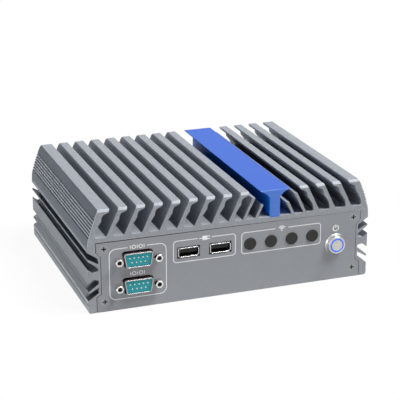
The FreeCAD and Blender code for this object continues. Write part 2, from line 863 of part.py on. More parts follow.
def make_screws(label, plane, x, y, z, inward, length, axis, span):
    """Four countersunk cross-recess screws as one group: one, its mirror image and a second row."""
    body = new_body(label)
    profile = sketch_on(body, plane, x, y, z)
    corners = [("0", "0"), ("0", "screw_head"), ("screw_head_deep", "screw_radius"),
               (length, "screw_radius"), (length, "0")]
    if plane == "YZ_Plane":
        outline(profile, [(f"{inward} * {deep}", out) for deep, out in corners])
        revolve(body, profile, "H_Axis")
    else:
        outline(profile, [(out, f"{inward} * {deep}") for deep, out in corners])
        revolve(body, profile, "V_Axis")
    face_plane = "XZ_Plane" if plane == "YZ_Plane" else "XY_Plane"
    cross = sketch_on(body, face_plane, x, y, z)
    half, arm = "cross_width / 2", "cross_span / 2"
    right = [(half, arm), (half, half), (arm, half),
             (arm, f"-{half}"), (half, f"-{half}"), (half, f"-{arm}")]
    outline(cross, right + [(f"-({a})", f"-({b})") for a, b in right])
    pocket(body, cross, "cross_deep", reverse=(inward < 0) == (face_plane == "XZ_Plane"))
    mirror(body, "YZ_Plane")
    row(body, axis, span, 2)


def make_bottom_cover():
    """The bottom cover with its countersunk holes and the holes of the mounting nuts."""
    body = new_body("bottom_cover")
    section = sketch_on(body, "XY_Plane")
    rectangle(section, "0", "0", "2 * plate_half", f"2 * {COVER_HALF_LONG}")
    pad(body, section, "cover_thick")
    nuts = sketch_on(body, "XY_Plane")
    for x, y in corner_places("mount_pitch / 2", "mount_pitch / 2"):
        circle(nuts, x, y, "nut_pilot + screw_fit")
    pocket(body, nuts)
    corner = sketch_on(body, "XY_Plane")
    for x, y in corner_places("cover_screw_across", "cover_screw_along"):
        circle(corner, x, y, "screw_radius + screw_fit")
    countersink(body, corner, reverse=True)


def make_mount_nuts():
    """Threaded nuts pressed into the bottom cover, for a wall or table bracket."""
    body = new_body("bottom_press_nuts")
    places = corner_places("mount_pitch / 2", "mount_pitch / 2")
    for z, radius, length in (("0", "nut_pilot", "cover_thick"), ("cover_thick", "nut_flange", "nut_rise")):
        step = sketch_on(body, "XY_Plane", z=z)
        for x, y in places:
            circle(step, x, y, radius)
        pad(body, step, length)
    thread = sketch_on(body, "XY_Plane")
    for x, y in places:
        circle(thread, x, y, "mount_thread")
    pocket(body, thread)


def make_serial_shell(end, name, x, z):
    """A serial port's metal shell: a D-shaped tube drawn up from its screw flange."""
    body = new_body(f"{end.name}_serial_shell_{name}")
    flange = sketch_on(body, "XZ_Plane", y=end.at("plate_thick"))
    rectangle(flange, x, z, "flange_width", "flange_height")
    pad(body, flange, "flange_thick", reverse=not end.rear)
    tube = sketch_on(body, "XZ_Plane", y=end.at("-shell_proud"))
    shell_outline(tube, x, z, "0")
    pad(body, tube, f"shell_proud + {FLANGE_BACK}", reverse=not end.rear)
    bore = sketch_on(body, "XZ_Plane", y=end.face)
    shell_outline(bore, x, z, "-shell_wall")
    pocket(body, bore)
    holes = sketch_on(body, "XZ_Plane", y=end.face)
    for side in (-1, 1):
        circle(holes, f"{x} + {side} * jack_spacing / 2", z, "jack_thread + screw_fit")
    pocket(body, holes)


def make_serial_insert(end, name, x, z):
    """A serial port's insulator: a D-shaped block inside the shell with a larger body behind the flange."""
    body = new_body(f"{end.name}_serial_insert_{name}")
    nose = sketch_on(body, "XZ_Plane", y=end.at("insert_sunk - shell_proud"))
    shell_outline(nose, x, z, "-(shell_wall + insert_fit)")
    pad(body, nose, f"{FLANGE_BACK} - insert_sunk + shell_proud", reverse=not end.rear)
    back = sketch_on(body, "XZ_Plane", y=end.at(FLANGE_BACK))
    rectangle(back, x, z, "insert_width", "insert_height")
    pad(body, back, "insert_deep", reverse=not end.rear)


def make_pins(end):
    """The contact pins of an end's serial ports: five over four in each."""
    body = new_body(f"{end.name}_serial_pins")
    section = sketch_on(body, "XZ_Plane", y=end.at("insert_sunk - shell_proud"))
    for _, x, z in end.ports:
        for count, side in ((5, 1), (4, -1)):
            for index in range(count):
                step = index - (count - 1) / 2
                circle(section, f"{x} + ({step}) * pin_pitch", f"{z} + {side} * pin_row / 2", "pin_radius")
    pad(body, section, "pin_long", reverse=end.rear)


def make_jackscrews(end):
    """The hexagon jackscrews that hold an end's serial ports and take the plugs' screws."""
    body = new_body(f"{end.name}_jackscrews")
    heads = sketch_on(body, "XZ_Plane", y=end.face)
    for x, z in jack_places(end):
        hexagon(heads, x, z, "jack_flats")
    pad(body, heads, "jack_proud", reverse=end.rear)
    studs = sketch_on(body, "XZ_Plane", y=end.face)
    for x, z in jack_places(end):
        circle(studs, x, z, "jack_thread")
    pad(body, studs, "jack_stud", reverse=not end.rear)
    threads = sketch_on(body, "XZ_Plane", y=end.at("-jack_proud"))
    for x, z in jack_places(end):
        circle(threads, x, z, "jack_thread")
    pocket(body, threads, "jack_thread_deep", reverse=end.rear)


def make_serial_board(end, width):
    """The upright board behind an end's serial ports, which their pins are soldered to."""
    low = "(serial_low - flange_height / 2 - serial_board_margin)"
    high = "(serial_high + flange_height / 2 + serial_board_margin)"
    near = f"{REAR} - {INSERT_BACK} - board_thick" if end.rear else f"{FRONT} + {INSERT_BACK}"
    make_box(f"{end.name}_serial_board", "-serial_across - flange_width / 2", near, low,
             width, "board_thick", f"{high} - {low}")


def make_box(label, x, y, z, width, long, tall):
    """A plain block with its lowest corner at x, y, z."""
    block = doc.addObject("Part::Box", label)
    block.Label = label
    for name, expression in (("Length", width), ("Width", long), ("Height", tall), ("Placement.Base.x", x),
                             ("Placement.Base.y", y), ("Placement.Base.z", z)):
        block.setExpression(name, bound(expression))
    PIECES.append(block)
    return block


def make_usb_shell(name, x):
    """A front USB socket's folded shell, with a flared lip on each side of its mouth and open corners."""
    body = new_body(f"front_usb_shell_{name}")
    mouth = ("-usb_proud", "usb_lip_width", "usb_lip_tall")
    neck = ("usb_lip_deep - usb_proud", "usb_width", "usb_tall")

    def ring(section, inset):
        """A rectangle at one of the two sections, drawn in by an inset."""
        distance, width, tall = section
        sketch = sketch_on(body, "XZ_Plane", y=FRONT_END.at(distance))
        rectangle(sketch, x, "usb_height_up", f"{width} - 2 * {inset}", f"{tall} - 2 * {inset}")
        return sketch

    loft(body, "AdditiveLoft", [ring(mouth, "0"), ring(neck, "0")])
    pad(body, ring(neck, "0"), "usb_deep - usb_lip_deep", reverse=True)
    pocket(body, ring(neck, "usb_wall"))
    loft(body, "SubtractiveLoft", [ring(mouth, "usb_wall"), ring(neck, "usb_wall")])
    corners = sketch_on(body, "XZ_Plane", y=FRONT_END.at("-usb_proud"))
    for side in (-1, 1):
        for up in (-1, 1):
            corner_x = f"{x} + {side} * usb_lip_width / 2"
            corner_z = f"usb_height_up + {up} * usb_lip_tall / 2"
            rectangle(corners, corner_x, corner_z, "2 * usb_notch", "2 * usb_notch")
    pocket(body, corners, "usb_lip_deep")


def loft(body, kind, rings):
    """A straight-sided loft between two sketches, added or removed."""
    feature = body.newObject(f"PartDesign::{kind}", f"{body.Label}_{kind}")
    feature.Profile = rings[0]
    feature.Sections = rings[1:]
    feature.Ruled = True
    doc.recompute()


def make_tongue(label, x, z, width, tall, back, deep, reverse):
    """A USB socket's contact tongue and the block at its root, which fills the back of the shell."""
    body = new_body(label)
    for level in z:
        root = sketch_on(body, "XZ_Plane", y=back)
        rectangle(root, x, level, f"{width} - 2 * tongue_fit", f"{tall} - 2 * tongue_fit")
        pad(body, root, "tongue_base", reverse=reverse)
        blade = sketch_on(body, "XZ_Plane", y=back)
        rectangle(blade, x, f"{level} + tongue_lift", "tongue_width", "tongue_thick")
        pad(body, blade, f"{deep} - tongue_sunk", reverse=reverse)


def make_antenna_plug(index):
    """A rubber plug that closes an unused antenna hole: a flat head, a stem and a bulb behind the panel."""
    body = new_body(f"antenna_hole_plug_{index + 1}")
    profile = sketch_on(body, "YZ_Plane", f"antenna_first + {index} * antenna_pitch", FRONT, "antenna_up")
    outline(profile, [
        ("-plug_head", "0"),
        ("-plug_head", "plug_radius - plug_round"),
        ("-plug_head + plug_round", "plug_radius",
         "-plug_head + plug_round * (1 - cos(45))", "plug_radius - plug_round * (1 - sin(45))"),
        ("0", "plug_radius"),
        ("0", "antenna_hole - plug_fit"),
        ("plate_thick", "antenna_hole - plug_fit"),
        ("plate_thick", "plug_bulb"),
        ("plate_thick + plug_bulb_thick", "antenna_hole"),
        ("plate_thick + plug_bulb_thick", "0"),
    ])
    revolve(body, profile)


def turned_for_button(label, points):
    """A turned piece on the button's axis; points are (distance behind the panel's face, radius)."""
    body = new_body(label)
    profile = sketch_on(body, "YZ_Plane", "button_across", FRONT, "button_up")
    outline(profile, points)
    revolve(body, profile)
    return body


def make_button():
    """The push button: bezel and barrel, nut, plunger cap, light ring, spring and contact block."""
    bore = "cap_radius + cap_fit"
    turned_for_button("power_button_bezel", [
        ("-bezel_proud", bore),
        ("-bezel_proud", "bezel_nose"),
        ("-bezel_rim", "bezel_radius - bezel_step"),
        ("-bezel_rim + bezel_step", "bezel_radius"),
        ("0", "bezel_radius"),
        ("0", "barrel_radius"),
        ("barrel_long", "barrel_radius"),
        ("barrel_long", "counterbore"),
        ("lip_deep", "counterbore"),
        ("lip_deep", bore),
    ])
    nut = new_body("power_button_nut")
    flats = sketch_on(nut, "XZ_Plane", y=FRONT_BACK)
    hexagon(flats, "button_across", "button_up", "button_nut_flats")
    circle(flats, "button_across", "button_up", "barrel_radius + screw_fit")
    pad(nut, flats, "button_nut_thick", reverse=True)
    floor = "-cap_proud + ring_deep"
    turned_for_button("power_button_cap", [
        ("-cap_proud", "0"),
        ("-cap_proud", "ring_inner"),
        (floor, "ring_inner"),
        (floor, "ring_outer"),
        ("-cap_proud", "ring_outer"),
        ("-cap_proud", "cap_radius"),
        ("lip_deep + collar_gap", "cap_radius"),
        ("lip_deep + collar_gap", "collar_radius"),
        (CAP_BACK, "collar_radius"),
        (CAP_BACK, "stem_radius"),
        (f"{CAP_BACK} + stem_long", "stem_radius"),
        (f"{CAP_BACK} + stem_long", "0"),
    ])
    turned_for_button("power_button_light_ring", [
        ("-cap_proud", "ring_inner + ring_fit"),
        ("-cap_proud", "ring_outer - ring_fit"),
        (floor, "ring_outer - ring_fit"),
        (floor, "ring_inner + ring_fit"),
    ])
    plug_front = "barrel_long - contact_plug_long"
    block = turned_for_button("power_button_contact_block", [
        (plug_front, "0"),
        (plug_front, "counterbore - barrel_fit"),
        ("barrel_long", "counterbore - barrel_fit"),
        ("barrel_long", "barrel_radius"),
        ("barrel_long + contact_long", "barrel_radius"),
        ("barrel_long + contact_long", "0"),
    ])
    terminals = sketch_on(block, "XZ_Plane", y=FRONT_END.at("barrel_long + contact_long"))
    for side in (-1, 1):
        x = f"button_across + {side} * terminal_wide"
        rectangle(terminals, x, "button_up", "terminal_thick", "terminal_wide")
    pad(block, terminals, "terminal_long", reverse=True)
    spring = new_body("power_button_spring")
    wire = sketch_on(spring, "YZ_Plane", "button_across", FRONT, "button_up")
    circle(wire, f"{CAP_BACK} + spring_gap + spring_wire", "spring_radius", "spring_wire")
    coil = spring.newObject("PartDesign::AdditiveHelix", "power_button_spring_coil")
    coil.Profile = wire
    coil.ReferenceAxis = (wire, ["H_Axis"])
    coil.Mode = "height-turns-angle"
    coil.setExpression("Height", bound(f"{plug_front} - ({CAP_BACK}) - 2 * spring_gap - 2 * spring_wire"))
    coil.setExpression("Turns", bound("spring_turns"))
    doc.recompute()


def make_mainboard():
    """The mainboard, notched round the serial boards and the push button, with its four screw holes."""
    body = new_body("mainboard")
    section = sketch_on(body, "XY_Plane", z=BOARD_UNDER)
    notch = f"({INSERT_BACK} + board_thick + notch_room)"
    front_edge = f"{FRONT_BACK} + board_edge_gap"
    rear_edge = f"{REAR_BACK} - board_edge_gap"
    outline(section, [
        (f"-{BOARD_HALF}", f"{FRONT} + {notch}"),
        ("-notch_left", f"{FRONT} + {notch}"),
        ("-notch_left", front_edge),
        ("notch_right", front_edge),
        ("notch_right", f"{FRONT} + notch_right_deep"),
        (BOARD_HALF, f"{FRONT} + notch_right_deep"),
        (BOARD_HALF, rear_edge),
        ("-notch_rear", rear_edge),
        ("-notch_rear", f"{REAR} - {notch}"),
        (f"-{BOARD_HALF}", f"{REAR} - {notch}"),
    ])
    pad(body, section, "board_thick")
    holes = sketch_on(body, "XY_Plane", z=BOARD_UNDER)
    for x, y in corner_places("standoff_across", "standoff_along"):
        circle(holes, x, y, "screw_radius + screw_fit")
    pocket(body, holes)


def make_board_mounts():
    """Hexagon standoffs between the mainboard and the housing's ceiling, and the screws from below."""
    body = new_body("board_standoffs")
    places = corner_places("standoff_across", "standoff_along")
    section = sketch_on(body, "XY_Plane", z=BOARD_TOP)
    for x, y in places:
        hexagon(section, x, y, "standoff_flats")
    pad(body, section, f"ceiling - {BOARD_TOP}")
    threads = sketch_on(body, "XY_Plane", z=BOARD_TOP)
    for x, y in places:
        circle(threads, x, y, "screw_radius + screw_fit")
    pocket(body, threads, "board_screw_reach + board_thick", reverse=True)
    screws = new_body("board_screws")
    head_tall = "board_screw_head_tall"
    for z, radius, length in ((f"{BOARD_UNDER} - {head_tall}", "board_screw_head", head_tall),
                              (BOARD_UNDER, "screw_radius", "board_thick + board_screw_reach")):
        step = sketch_on(screws, "XY_Plane", z=z)
        for x, y in places:
            circle(step, x, y, radius)
        pad(screws, step, length)


def make_processor():
    """The processor, its thermal pad and the aluminium block that carries heat up to the ceiling."""
    pad_low = f"({BOARD_TOP} + cpu_thick)"
    block_low = f"({pad_low} + pad_thick)"
    for label, z, width, long, tall in (
            ("cpu_package", BOARD_TOP, "cpu_side", "cpu_side", "cpu_thick"),
            ("thermal_pad", pad_low, "pad_side", "pad_side", "pad_thick"),
            ("heat_spreader_block", block_low, "spreader_width", "spreader_long", f"ceiling - {block_low}")):
        make_box(label, f"cpu_across - {width} / 2", f"cpu_along - {long} / 2", z, width, long, tall)


def make_card(name, columns, rows):
    """A plug-in card under the mainboard, with its columns and rows of chips, and its slotted socket."""
    across, width, thick = f"{name}_across", f"{name}_width", f"{name}_thick"
    face = f"({name}_along + {name}_socket_long / 2)"
    card_middle = f"({face} - {name}_bite + {name}_long / 2)"
    level = f"({BOARD_UNDER} - {name}_drop)"
    socket = new_body(f"{name}_socket")
    section = sketch_on(socket, "XY_Plane", z=f"{BOARD_UNDER} - {name}_socket_tall")
    rectangle(section, across, f"{name}_along", f"{name}_socket_width", f"{name}_socket_long")
    pad(socket, section, f"{name}_socket_tall")
    slot = sketch_on(socket, "XZ_Plane", y=face)
    rectangle(slot, across, level, f"{width} + 2 * tongue_fit", f"{thick} + 2 * tongue_fit")
    pocket(socket, slot, f"{name}_bite", reverse=True)
    card = new_body(f"{name}_module")
    board = sketch_on(card, "XY_Plane", z=f"{level} - {thick} / 2")
    rectangle(board, across, card_middle, width, f"{name}_long")
    pad(card, board, thick)
    chips = sketch_on(card, "XY_Plane", z=f"{level} - {thick} / 2")
    for column in range(columns):
        for index in range(rows):
            x = f"{across} + ({column - (columns - 1) / 2}) * chip_column_pitch"
            y = f"{card_middle} + ({index - (rows - 1) / 2}) * chip_row_pitch"
            rectangle(chips, x, y, "chip_wide", "chip_long")
    pad(card, chips, "chip_thick", reverse=True)


def make_coin_cell():
    """The coin cell that keeps the clock, soldered flat under the mainboard."""
    cell = doc.addObject("Part::Cylinder", "coin_cell")
    cell.Label = "coin_cell"
    for name, expression in (("Radius", "cell_radius"), ("Height", "cell_thick"),
                             ("Placement.Base.x", "cell_across"), ("Placement.Base.y", "cell_along"),
                             ("Placement.Base.z", f"{BOARD_UNDER} - cell_thick")):
        cell.setExpression(name, bound(expression))
    PIECES.append(cell)


def socket_block(label, x, width, tall, deep):
    """The outer block of a socket on the mainboard's rear edge, proud of the rear panel."""
    body = new_body(label)
    section = sketch_on(body, "XZ_Plane", y=f"{REAR} + socket_proud")
    rectangle(section, x, f"{BOARD_TOP} + {tall} / 2", width, tall)
    pad(body, section, deep)
    return body


def cut_mouth(body, x, z, width, tall, deep):
    """A rectangular mouth in a rear socket."""
    mouth = sketch_on(body, "XZ_Plane", y=f"{REAR} + socket_proud")
    rectangle(mouth, x, z, width, tall)
    pocket(body, mouth, deep, reverse=True)


def make_rear_usb():
    """The rear pair of USB sockets, one above the other in one shell, and their tongues."""
    x = "rear_usb_across"
    levels = [f"{BOARD_TOP} + rear_usb_tall / 2 + {side} * rear_usb_pitch / 2" for side in (-1, 1)]
    shell = socket_block("rear_usb_shell", x, "rear_usb_width", "rear_usb_tall", "rear_usb_deep")
    for z in levels:
        cut_mouth(shell, x, z, "rear_usb_mouth_width", "rear_usb_mouth_tall", "rear_usb_mouth_deep")
    make_tongue("rear_usb_tongues", x, levels, "rear_usb_mouth_width", "rear_usb_mouth_tall",
                f"{REAR} + socket_proud - rear_usb_mouth_deep", "rear_usb_mouth_deep", reverse=True)


def make_lan_socket(index):
    """A network socket: a block with a stepped mouth for the plug and its latch."""
    x = f"lan_first + {index} * lan_pitch"
    body = socket_block(f"lan_socket_{index + 1}", x, "lan_width", "lan_tall", "lan_deep")
    floor = f"{BOARD_TOP} + lan_mouth_up"
    deep = "lan_mouth_deep"
    cut_mouth(body, x, f"{floor} + lan_mouth_tall / 2", "lan_mouth_width", "lan_mouth_tall", deep)
    cut_mouth(body, x, f"{floor} - lan_latch_drop / 2", "lan_latch_width", "lan_latch_drop", deep)


def make_hdmi_socket():
    """The video socket: a thin shell with its contact tongue."""
    body = socket_block("hdmi_socket", "hdmi_across", "hdmi_width", "hdmi_tall", "hdmi_deep")
    middle = f"{BOARD_TOP} + hdmi_tall / 2"
    cut_mouth(body, "hdmi_across", middle, "hdmi_width - 2 * hdmi_wall", "hdmi_tall - 2 * hdmi_wall",
              "hdmi_deep - hdmi_floor")
    tongue = sketch_on(body, "XZ_Plane", y=f"{REAR} + socket_proud - hdmi_deep + hdmi_floor")
    rectangle(tongue, "hdmi_across", middle, "hdmi_tongue_width", "hdmi_tongue_thick")
    pad(body, tongue, "hdmi_tongue_long", reverse=True)


def make_dc_jack():
    """The power inlet: a block with a round mouth and its centre pin."""
    body = socket_block("dc_jack", "dc_across", "dc_width", "dc_tall", "dc_deep")
    middle = f"{BOARD_TOP} + dc_tall / 2"
    mouth = sketch_on(body, "XZ_Plane", y=f"{REAR} + socket_proud")
    circle(mouth, "dc_across", middle, "dc_mouth")
    pocket(body, mouth, "dc_mouth_deep", reverse=True)
    pin = sketch_on(body, "XZ_Plane", y=f"{REAR} + socket_proud - dc_mouth_deep")
    circle(pin, "dc_across", middle, "dc_pin")
    pad(body, pin, "dc_mouth_deep - dc_pin_sunk", reverse=True)


def export_all():
    """Check every object and write one file for each body."""
    os.makedirs("parts", exist_ok=True)
    for item in doc.Objects:
        if {"Invalid", "Error"} & set(item.State):
            raise ValueError(f"{item.Label} failed: {item.State}")
    for body in PIECES:
        shape = body.Shape
        if shape.isNull() or not shape.isValid() or shape.Volume <= 0:
            raise ValueError(f"{body.Label} has no valid solid")
    for body in PIECES:
        body.Shape.exportStep(f"parts/{body.Label}.step")
        print(body.Label, len(body.Shape.Solids), round(body.Shape.Volume, 1))


make_housing()
make_top_bar()
make_plate(FRONT_END, cut_front_sockets)
make_plate(REAR_END, cut_rear_sockets)
make_bottom_cover()
for end in (FRONT_END, REAR_END):
    make_screws(f"{end.name}_panel_screws", "YZ_Plane", "screw_across", end.face, "screw_low", end.inward,
                "screw_length", "Z_Axis", "screw_high - screw_low")
make_screws("bottom_cover_screws", "XZ_Plane", "cover_screw_across", "-cover_screw_along", "0", 1,
            "cover_screw_length", "Y_Axis", "2 * cover_screw_along")
make_mount_nuts()
for end in (FRONT_END, REAR_END):
    for name, x, z in end.ports:
        make_serial_shell(end, name, x, z)
        make_serial_insert(end, name, x, z)
    make_pins(end)
    make_jackscrews(end)
make_serial_board(FRONT_END, "flange_width")
make_serial_board(REAR_END, "flange_width + serial_gap")
for name, x in (("1", "usb_left"), ("2", "usb_right")):
    make_usb_shell(name, x)
    make_tongue(f"front_usb_tongue_{name}", x, ["usb_height_up"],
                "usb_width - 2 * usb_wall", "usb_tall - 2 * usb_wall",
                FRONT_END.at("usb_deep - usb_proud"), "usb_deep", reverse=False)
for index in range(4):
    make_antenna_plug(index)
make_button()
make_mainboard()
make_board_mounts()
make_processor()
make_card("memory", columns=4, rows=1)
make_card("storage", columns=1, rows=3)
make_coin_cell()
make_rear_usb()
for index in range(2):
    make_lan_socket(index)
make_hdmi_socket()
make_dc_jack()
doc.recompute()
export_all()
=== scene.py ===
import math
from itertools import product

import bmesh
import bpy
from mathutils import Matrix, Vector


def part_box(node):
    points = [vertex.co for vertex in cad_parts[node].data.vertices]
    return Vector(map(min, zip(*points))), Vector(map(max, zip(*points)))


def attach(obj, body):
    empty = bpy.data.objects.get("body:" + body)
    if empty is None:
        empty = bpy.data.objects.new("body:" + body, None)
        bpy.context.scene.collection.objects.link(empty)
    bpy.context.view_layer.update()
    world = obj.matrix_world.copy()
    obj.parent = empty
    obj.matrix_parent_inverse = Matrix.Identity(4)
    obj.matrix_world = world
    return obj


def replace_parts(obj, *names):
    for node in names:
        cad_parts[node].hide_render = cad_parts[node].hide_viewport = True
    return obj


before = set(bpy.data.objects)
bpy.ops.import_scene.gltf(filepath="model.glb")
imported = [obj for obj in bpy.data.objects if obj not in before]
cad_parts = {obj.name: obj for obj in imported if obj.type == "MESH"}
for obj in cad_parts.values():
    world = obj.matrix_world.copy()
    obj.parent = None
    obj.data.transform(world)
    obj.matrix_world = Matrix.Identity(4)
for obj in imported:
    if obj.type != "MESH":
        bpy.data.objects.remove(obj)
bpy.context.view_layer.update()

MM = 0.001

# The housing is one aluminium extrusion: slotted sides, grooved shoulders and leaning fins on a closed roof.
# It is blasted and anodised grey. Shade is painted on in darker greys: on the shoulders, on the fins' flanks,
# deepening towards their roots, on the sawn ends and the ribs' outsides, and on the undersides, inner walls
# and lower bottoms of the side slots and in the skirt's groove. Light is painted on in lighter greys: on the
# skirt, on the other faces in the slots and on the lower slots' floors, which get painted shade near their
# front ends, and as painted highlights on the lands between the fine grooves and on the rounded edges.
HOUSING_GREY = (0.352, 0.375, 0.413)
SHOULDER_SHADE_GREY = (0.148, 0.167, 0.198)
EDGE_HIGHLIGHT_GREY = (0.5, 0.525, 0.56)
LAND_HIGHLIGHT_GREY = (0.42, 0.445, 0.48)
SLOT_LIT_GREY = (0.43, 0.46, 0.5)
FLANK_SHADE_GREY = (0.34, 0.372, 0.43)
END_SHADE_GREY = (0.315, 0.33, 0.355)
SKIRT_LIT_GREY = (0.54, 0.567, 0.6)
UNDERSIDE_SHADE_GREY = (0.15, 0.163, 0.185)
ROOT_SHADE_FADE = ("Z", 50 * MM, 61 * MM, 0.4)
SLOT_END_SHADE_FADE = ("Y", -66 * MM, -61.5 * MM, 0.09)
GRAIN_DETAIL = 3
GRAIN_RANGE = (0.3, 0.7)
GLOSS_VARY = 0.15
RELIEF_DEPTH = 0.05 * MM

WELD = 0.001 * MM
ONE_PLANE = math.radians(0.5)
SHARP = math.radians(35)
BROAD_FACE = 0.9 * MM
HOUSING_EDGE = 0.28 * MM
SLOT_EDGE = 0.14 * MM

# Places on the housing: distances out from its middle plane, then levels above its base.
FAR = 1.0
SLOTS_TOP = 42 * MM
SHOULDERS = (-FAR, FAR), (SLOTS_TOP, 65.3 * MM)
SLOTS = (85 * MM, 92 * MM), (8 * MM, 39.5 * MM)
LOWER_SLOTS_TOP = 21.5 * MM
SLOT_FLOORS_TOP = 21 * MM
FLANKS = (-FAR, 84.9 * MM), (48 * MM, 64.5 * MM)
RIBS = (92 * MM, FAR), (12 * MM, 39.5 * MM)
SKIRT = (87.5 * MM, FAR), (-FAR, 8.3 * MM)
SKIRT_GROOVE = (91.5 * MM, 92.45 * MM), (5 * MM, 6 * MM)
OUTLINE_OUT = 85 * MM
CAPS_LEVEL = 63 * MM

FULL_LENGTH = 100 * MM
END_LENGTH = 1 * MM
FACING = 0.9
EDGE_ON = 0.1
FLANK_LEAN = 0.6
SHOULDER_CENTRE = Vector((18.818 * MM, 0, 30.448 * MM))
SHOULDER_RADIUS = 75 * MM
SHOULDER_SKIN = 1 * MM
LAND_ANGLES = (math.radians(14.1), math.radians(22.86))
LAND_SKIN = 0.02 * MM


def finish(name, colour, roughness, vary, grain, bump, metallic=0.0, specular=0.3, stretch=(1, 1, 1),
           fade=None):
    """A material whose grain changes its colour, its gloss and its surface a little.

    A fade is painted shade, given as an axis, the place on it where the colour is darkest, the place where it
    is full, and the share of it that is left at the darkest place.
    """
    material = bpy.data.materials.new(name)
    material.use_nodes = True
    nodes, link = material.node_tree.nodes, material.node_tree.links.new
    shader = nodes["Principled BSDF"]
    shader.inputs["Metallic"].default_value = metallic
    shader.inputs["Specular IOR Level"].default_value = specular
    place = nodes.new("ShaderNodeTexCoord")
    mapping = nodes.new("ShaderNodeMapping")
    mapping.inputs["Scale"].default_value = stretch
    link(place.outputs["Object"], mapping.inputs["Vector"])
    noise = nodes.new("ShaderNodeTexNoise")
    noise.inputs["Scale"].default_value = grain
    noise.inputs["Detail"].default_value = GRAIN_DETAIL
    link(mapping.outputs["Vector"], noise.inputs["Vector"])
    spread = nodes.new("ShaderNodeMapRange")
    spread.inputs["From Min"].default_value = GRAIN_RANGE[0]
    spread.inputs["From Max"].default_value = GRAIN_RANGE[1]
    link(noise.outputs[0], spread.inputs["Value"])
    mix = nodes.new("ShaderNodeMix")
    mix.data_type = "RGBA"
    mix.inputs["A"].default_value = (*(channel * (1 - vary) for channel in colour), 1)
    mix.inputs["B"].default_value = (*(min(channel * (1 + vary), 1) for channel in colour), 1)
    link(spread.outputs["Result"], mix.inputs["Factor"])
    tone = mix.outputs["Result"]
    if fade:
        axis, low, high, share = fade
        axes = nodes.new("ShaderNodeSeparateXYZ")
        link(place.outputs["Object"], axes.inputs["Vector"])
        rise = nodes.new("ShaderNodeMapRange")
        rise.inputs["From Min"].default_value = low
        rise.inputs["From Max"].default_value = high
        link(axes.outputs[axis], rise.inputs["Value"])
        deep = nodes.new("ShaderNodeMix")
        deep.data_type = "RGBA"
        deep.inputs["A"].default_value = (*(channel * share for channel in colour), 1)
        link(tone, deep.inputs["B"])
        link(rise.outputs["Result"], deep.inputs["Factor"])
        tone = deep.outputs["Result"]
    link(tone, shader.inputs["Base Color"])
    gloss = nodes.new("ShaderNodeMapRange")
    gloss.inputs["To Min"].default_value = roughness * (1 - GLOSS_VARY)
    gloss.inputs["To Max"].default_value = min(roughness * (1 + GLOSS_VARY), 1)
    link(spread.outputs["Result"], gloss.inputs["Value"])
    link(gloss.outputs["Result"], shader.inputs["Roughness"])
    relief = nodes.new("ShaderNodeBump")
    relief.inputs["Strength"].default_value = bump
    relief.inputs["Distance"].default_value = RELIEF_DEPTH
    link(noise.outputs[0], relief.inputs["Height"])
    link(relief.outputs["Normal"], shader.inputs["Normal"])
    return material


def dress(node, material):
    """Give a solid of the frame its material."""
    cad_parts[node].data.materials.clear()
    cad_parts[node].data.materials.append(material)


def copy_solid(node):
    """A copy of a solid's faces, with each flat face in one piece."""
    work = bmesh.new()
    work.from_mesh(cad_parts[node].data)
    bmesh.ops.remove_doubles(work, verts=work.verts, dist=WELD)
    bmesh.ops.dissolve_limit(work, angle_limit=ONE_PLANE, verts=work.verts, edges=work.edges)
    return work


def round_edges(work, edge, broad=BROAD_FACE, low=-FAR, high=FAR):
    """Round the sharp edges that lie between broad faces, from a low to a high level."""
    sharp = [line for line in work.edges if line.calc_face_angle(0) > SHARP
             and min(face.calc_area() for face in line.link_faces) > broad * line.calc_length()
             and low < (line.verts[0].co.z + line.verts[1].co.z) / 2 < high]
    return bmesh.ops.bevel(work, geom=sharp, offset=edge, offset_type="OFFSET", affect="EDGES", segments=2,
                           profile=0.5, material=-1)["faces"]


def add_piece(name, work, materials, body="case"):
    """Turn a finished bmesh into a piece that rides on a body; its faces index its materials."""
    mesh = bpy.data.meshes.new(name)
    work.to_mesh(mesh)
    work.free()
    mesh.shade_smooth()
    mesh.set_sharp_from_angle(angle=SHARP)
    for material in materials if isinstance(materials, list) else [materials]:
        mesh.materials.append(material)
    piece = bpy.data.objects.new(name, mesh)
    bpy.context.scene.collection.objects.link(piece)
    piece.modifiers.new("flat_faces", "WEIGHTED_NORMAL").keep_sharp = True
    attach(piece, body)
    return piece


def soften(node, name, material, edge, broad, body="case"):
    """A copy of a solid that stands for it, with its sharp edges rounded."""
    work = copy_solid(node)
    round_edges(work, edge, broad)
    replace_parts(add_piece(name, work, material, body), node)


def paint(faces, index, chosen):
    """Give those of the faces that a test picks another of the piece's materials."""
    for face in faces:
        if chosen(face):
            face.material_index = index


def length_along(face):
    """How far a face runs from front to rear."""
    along = [corner.vert.co.y for corner in face.loops]
    return max(along) - min(along)


def runs_along(face, out, up):
    """Whether a face runs the housing's whole length, between two distances out and two levels."""
    middle = face.calc_center_median()
    return (length_along(face) > FULL_LENGTH and out[0] < abs(middle.x) < out[1]
            and up[0] < middle.z < up[1])


def shoulder_spot(face):
    """How far a face is from the shoulder's arc, and its angle on it."""
    middle = face.calc_center_median()
    spoke = Vector((abs(middle.x), 0, middle.z)) - SHOULDER_CENTRE
    return abs(spoke.length - SHOULDER_RADIUS), math.atan2(spoke.z, spoke.x)


def on_shoulder(face):
    """Whether a face belongs to a rounded shoulder or one of its grooves."""
    return runs_along(face, *SHOULDERS) and shoulder_spot(face)[0] < SHOULDER_SKIN


def on_land(face):
    """Whether a face is one of the lands between the fine grooves."""
    away, angle = shoulder_spot(face)
    return length_along(face) > FULL_LENGTH and away < LAND_SKIN and LAND_ANGLES[0] < angle < LAND_ANGLES[1]


def in_slot(face):
    """Whether a face is a wall or the bottom of a side slot."""
    return runs_along(face, *SLOTS)


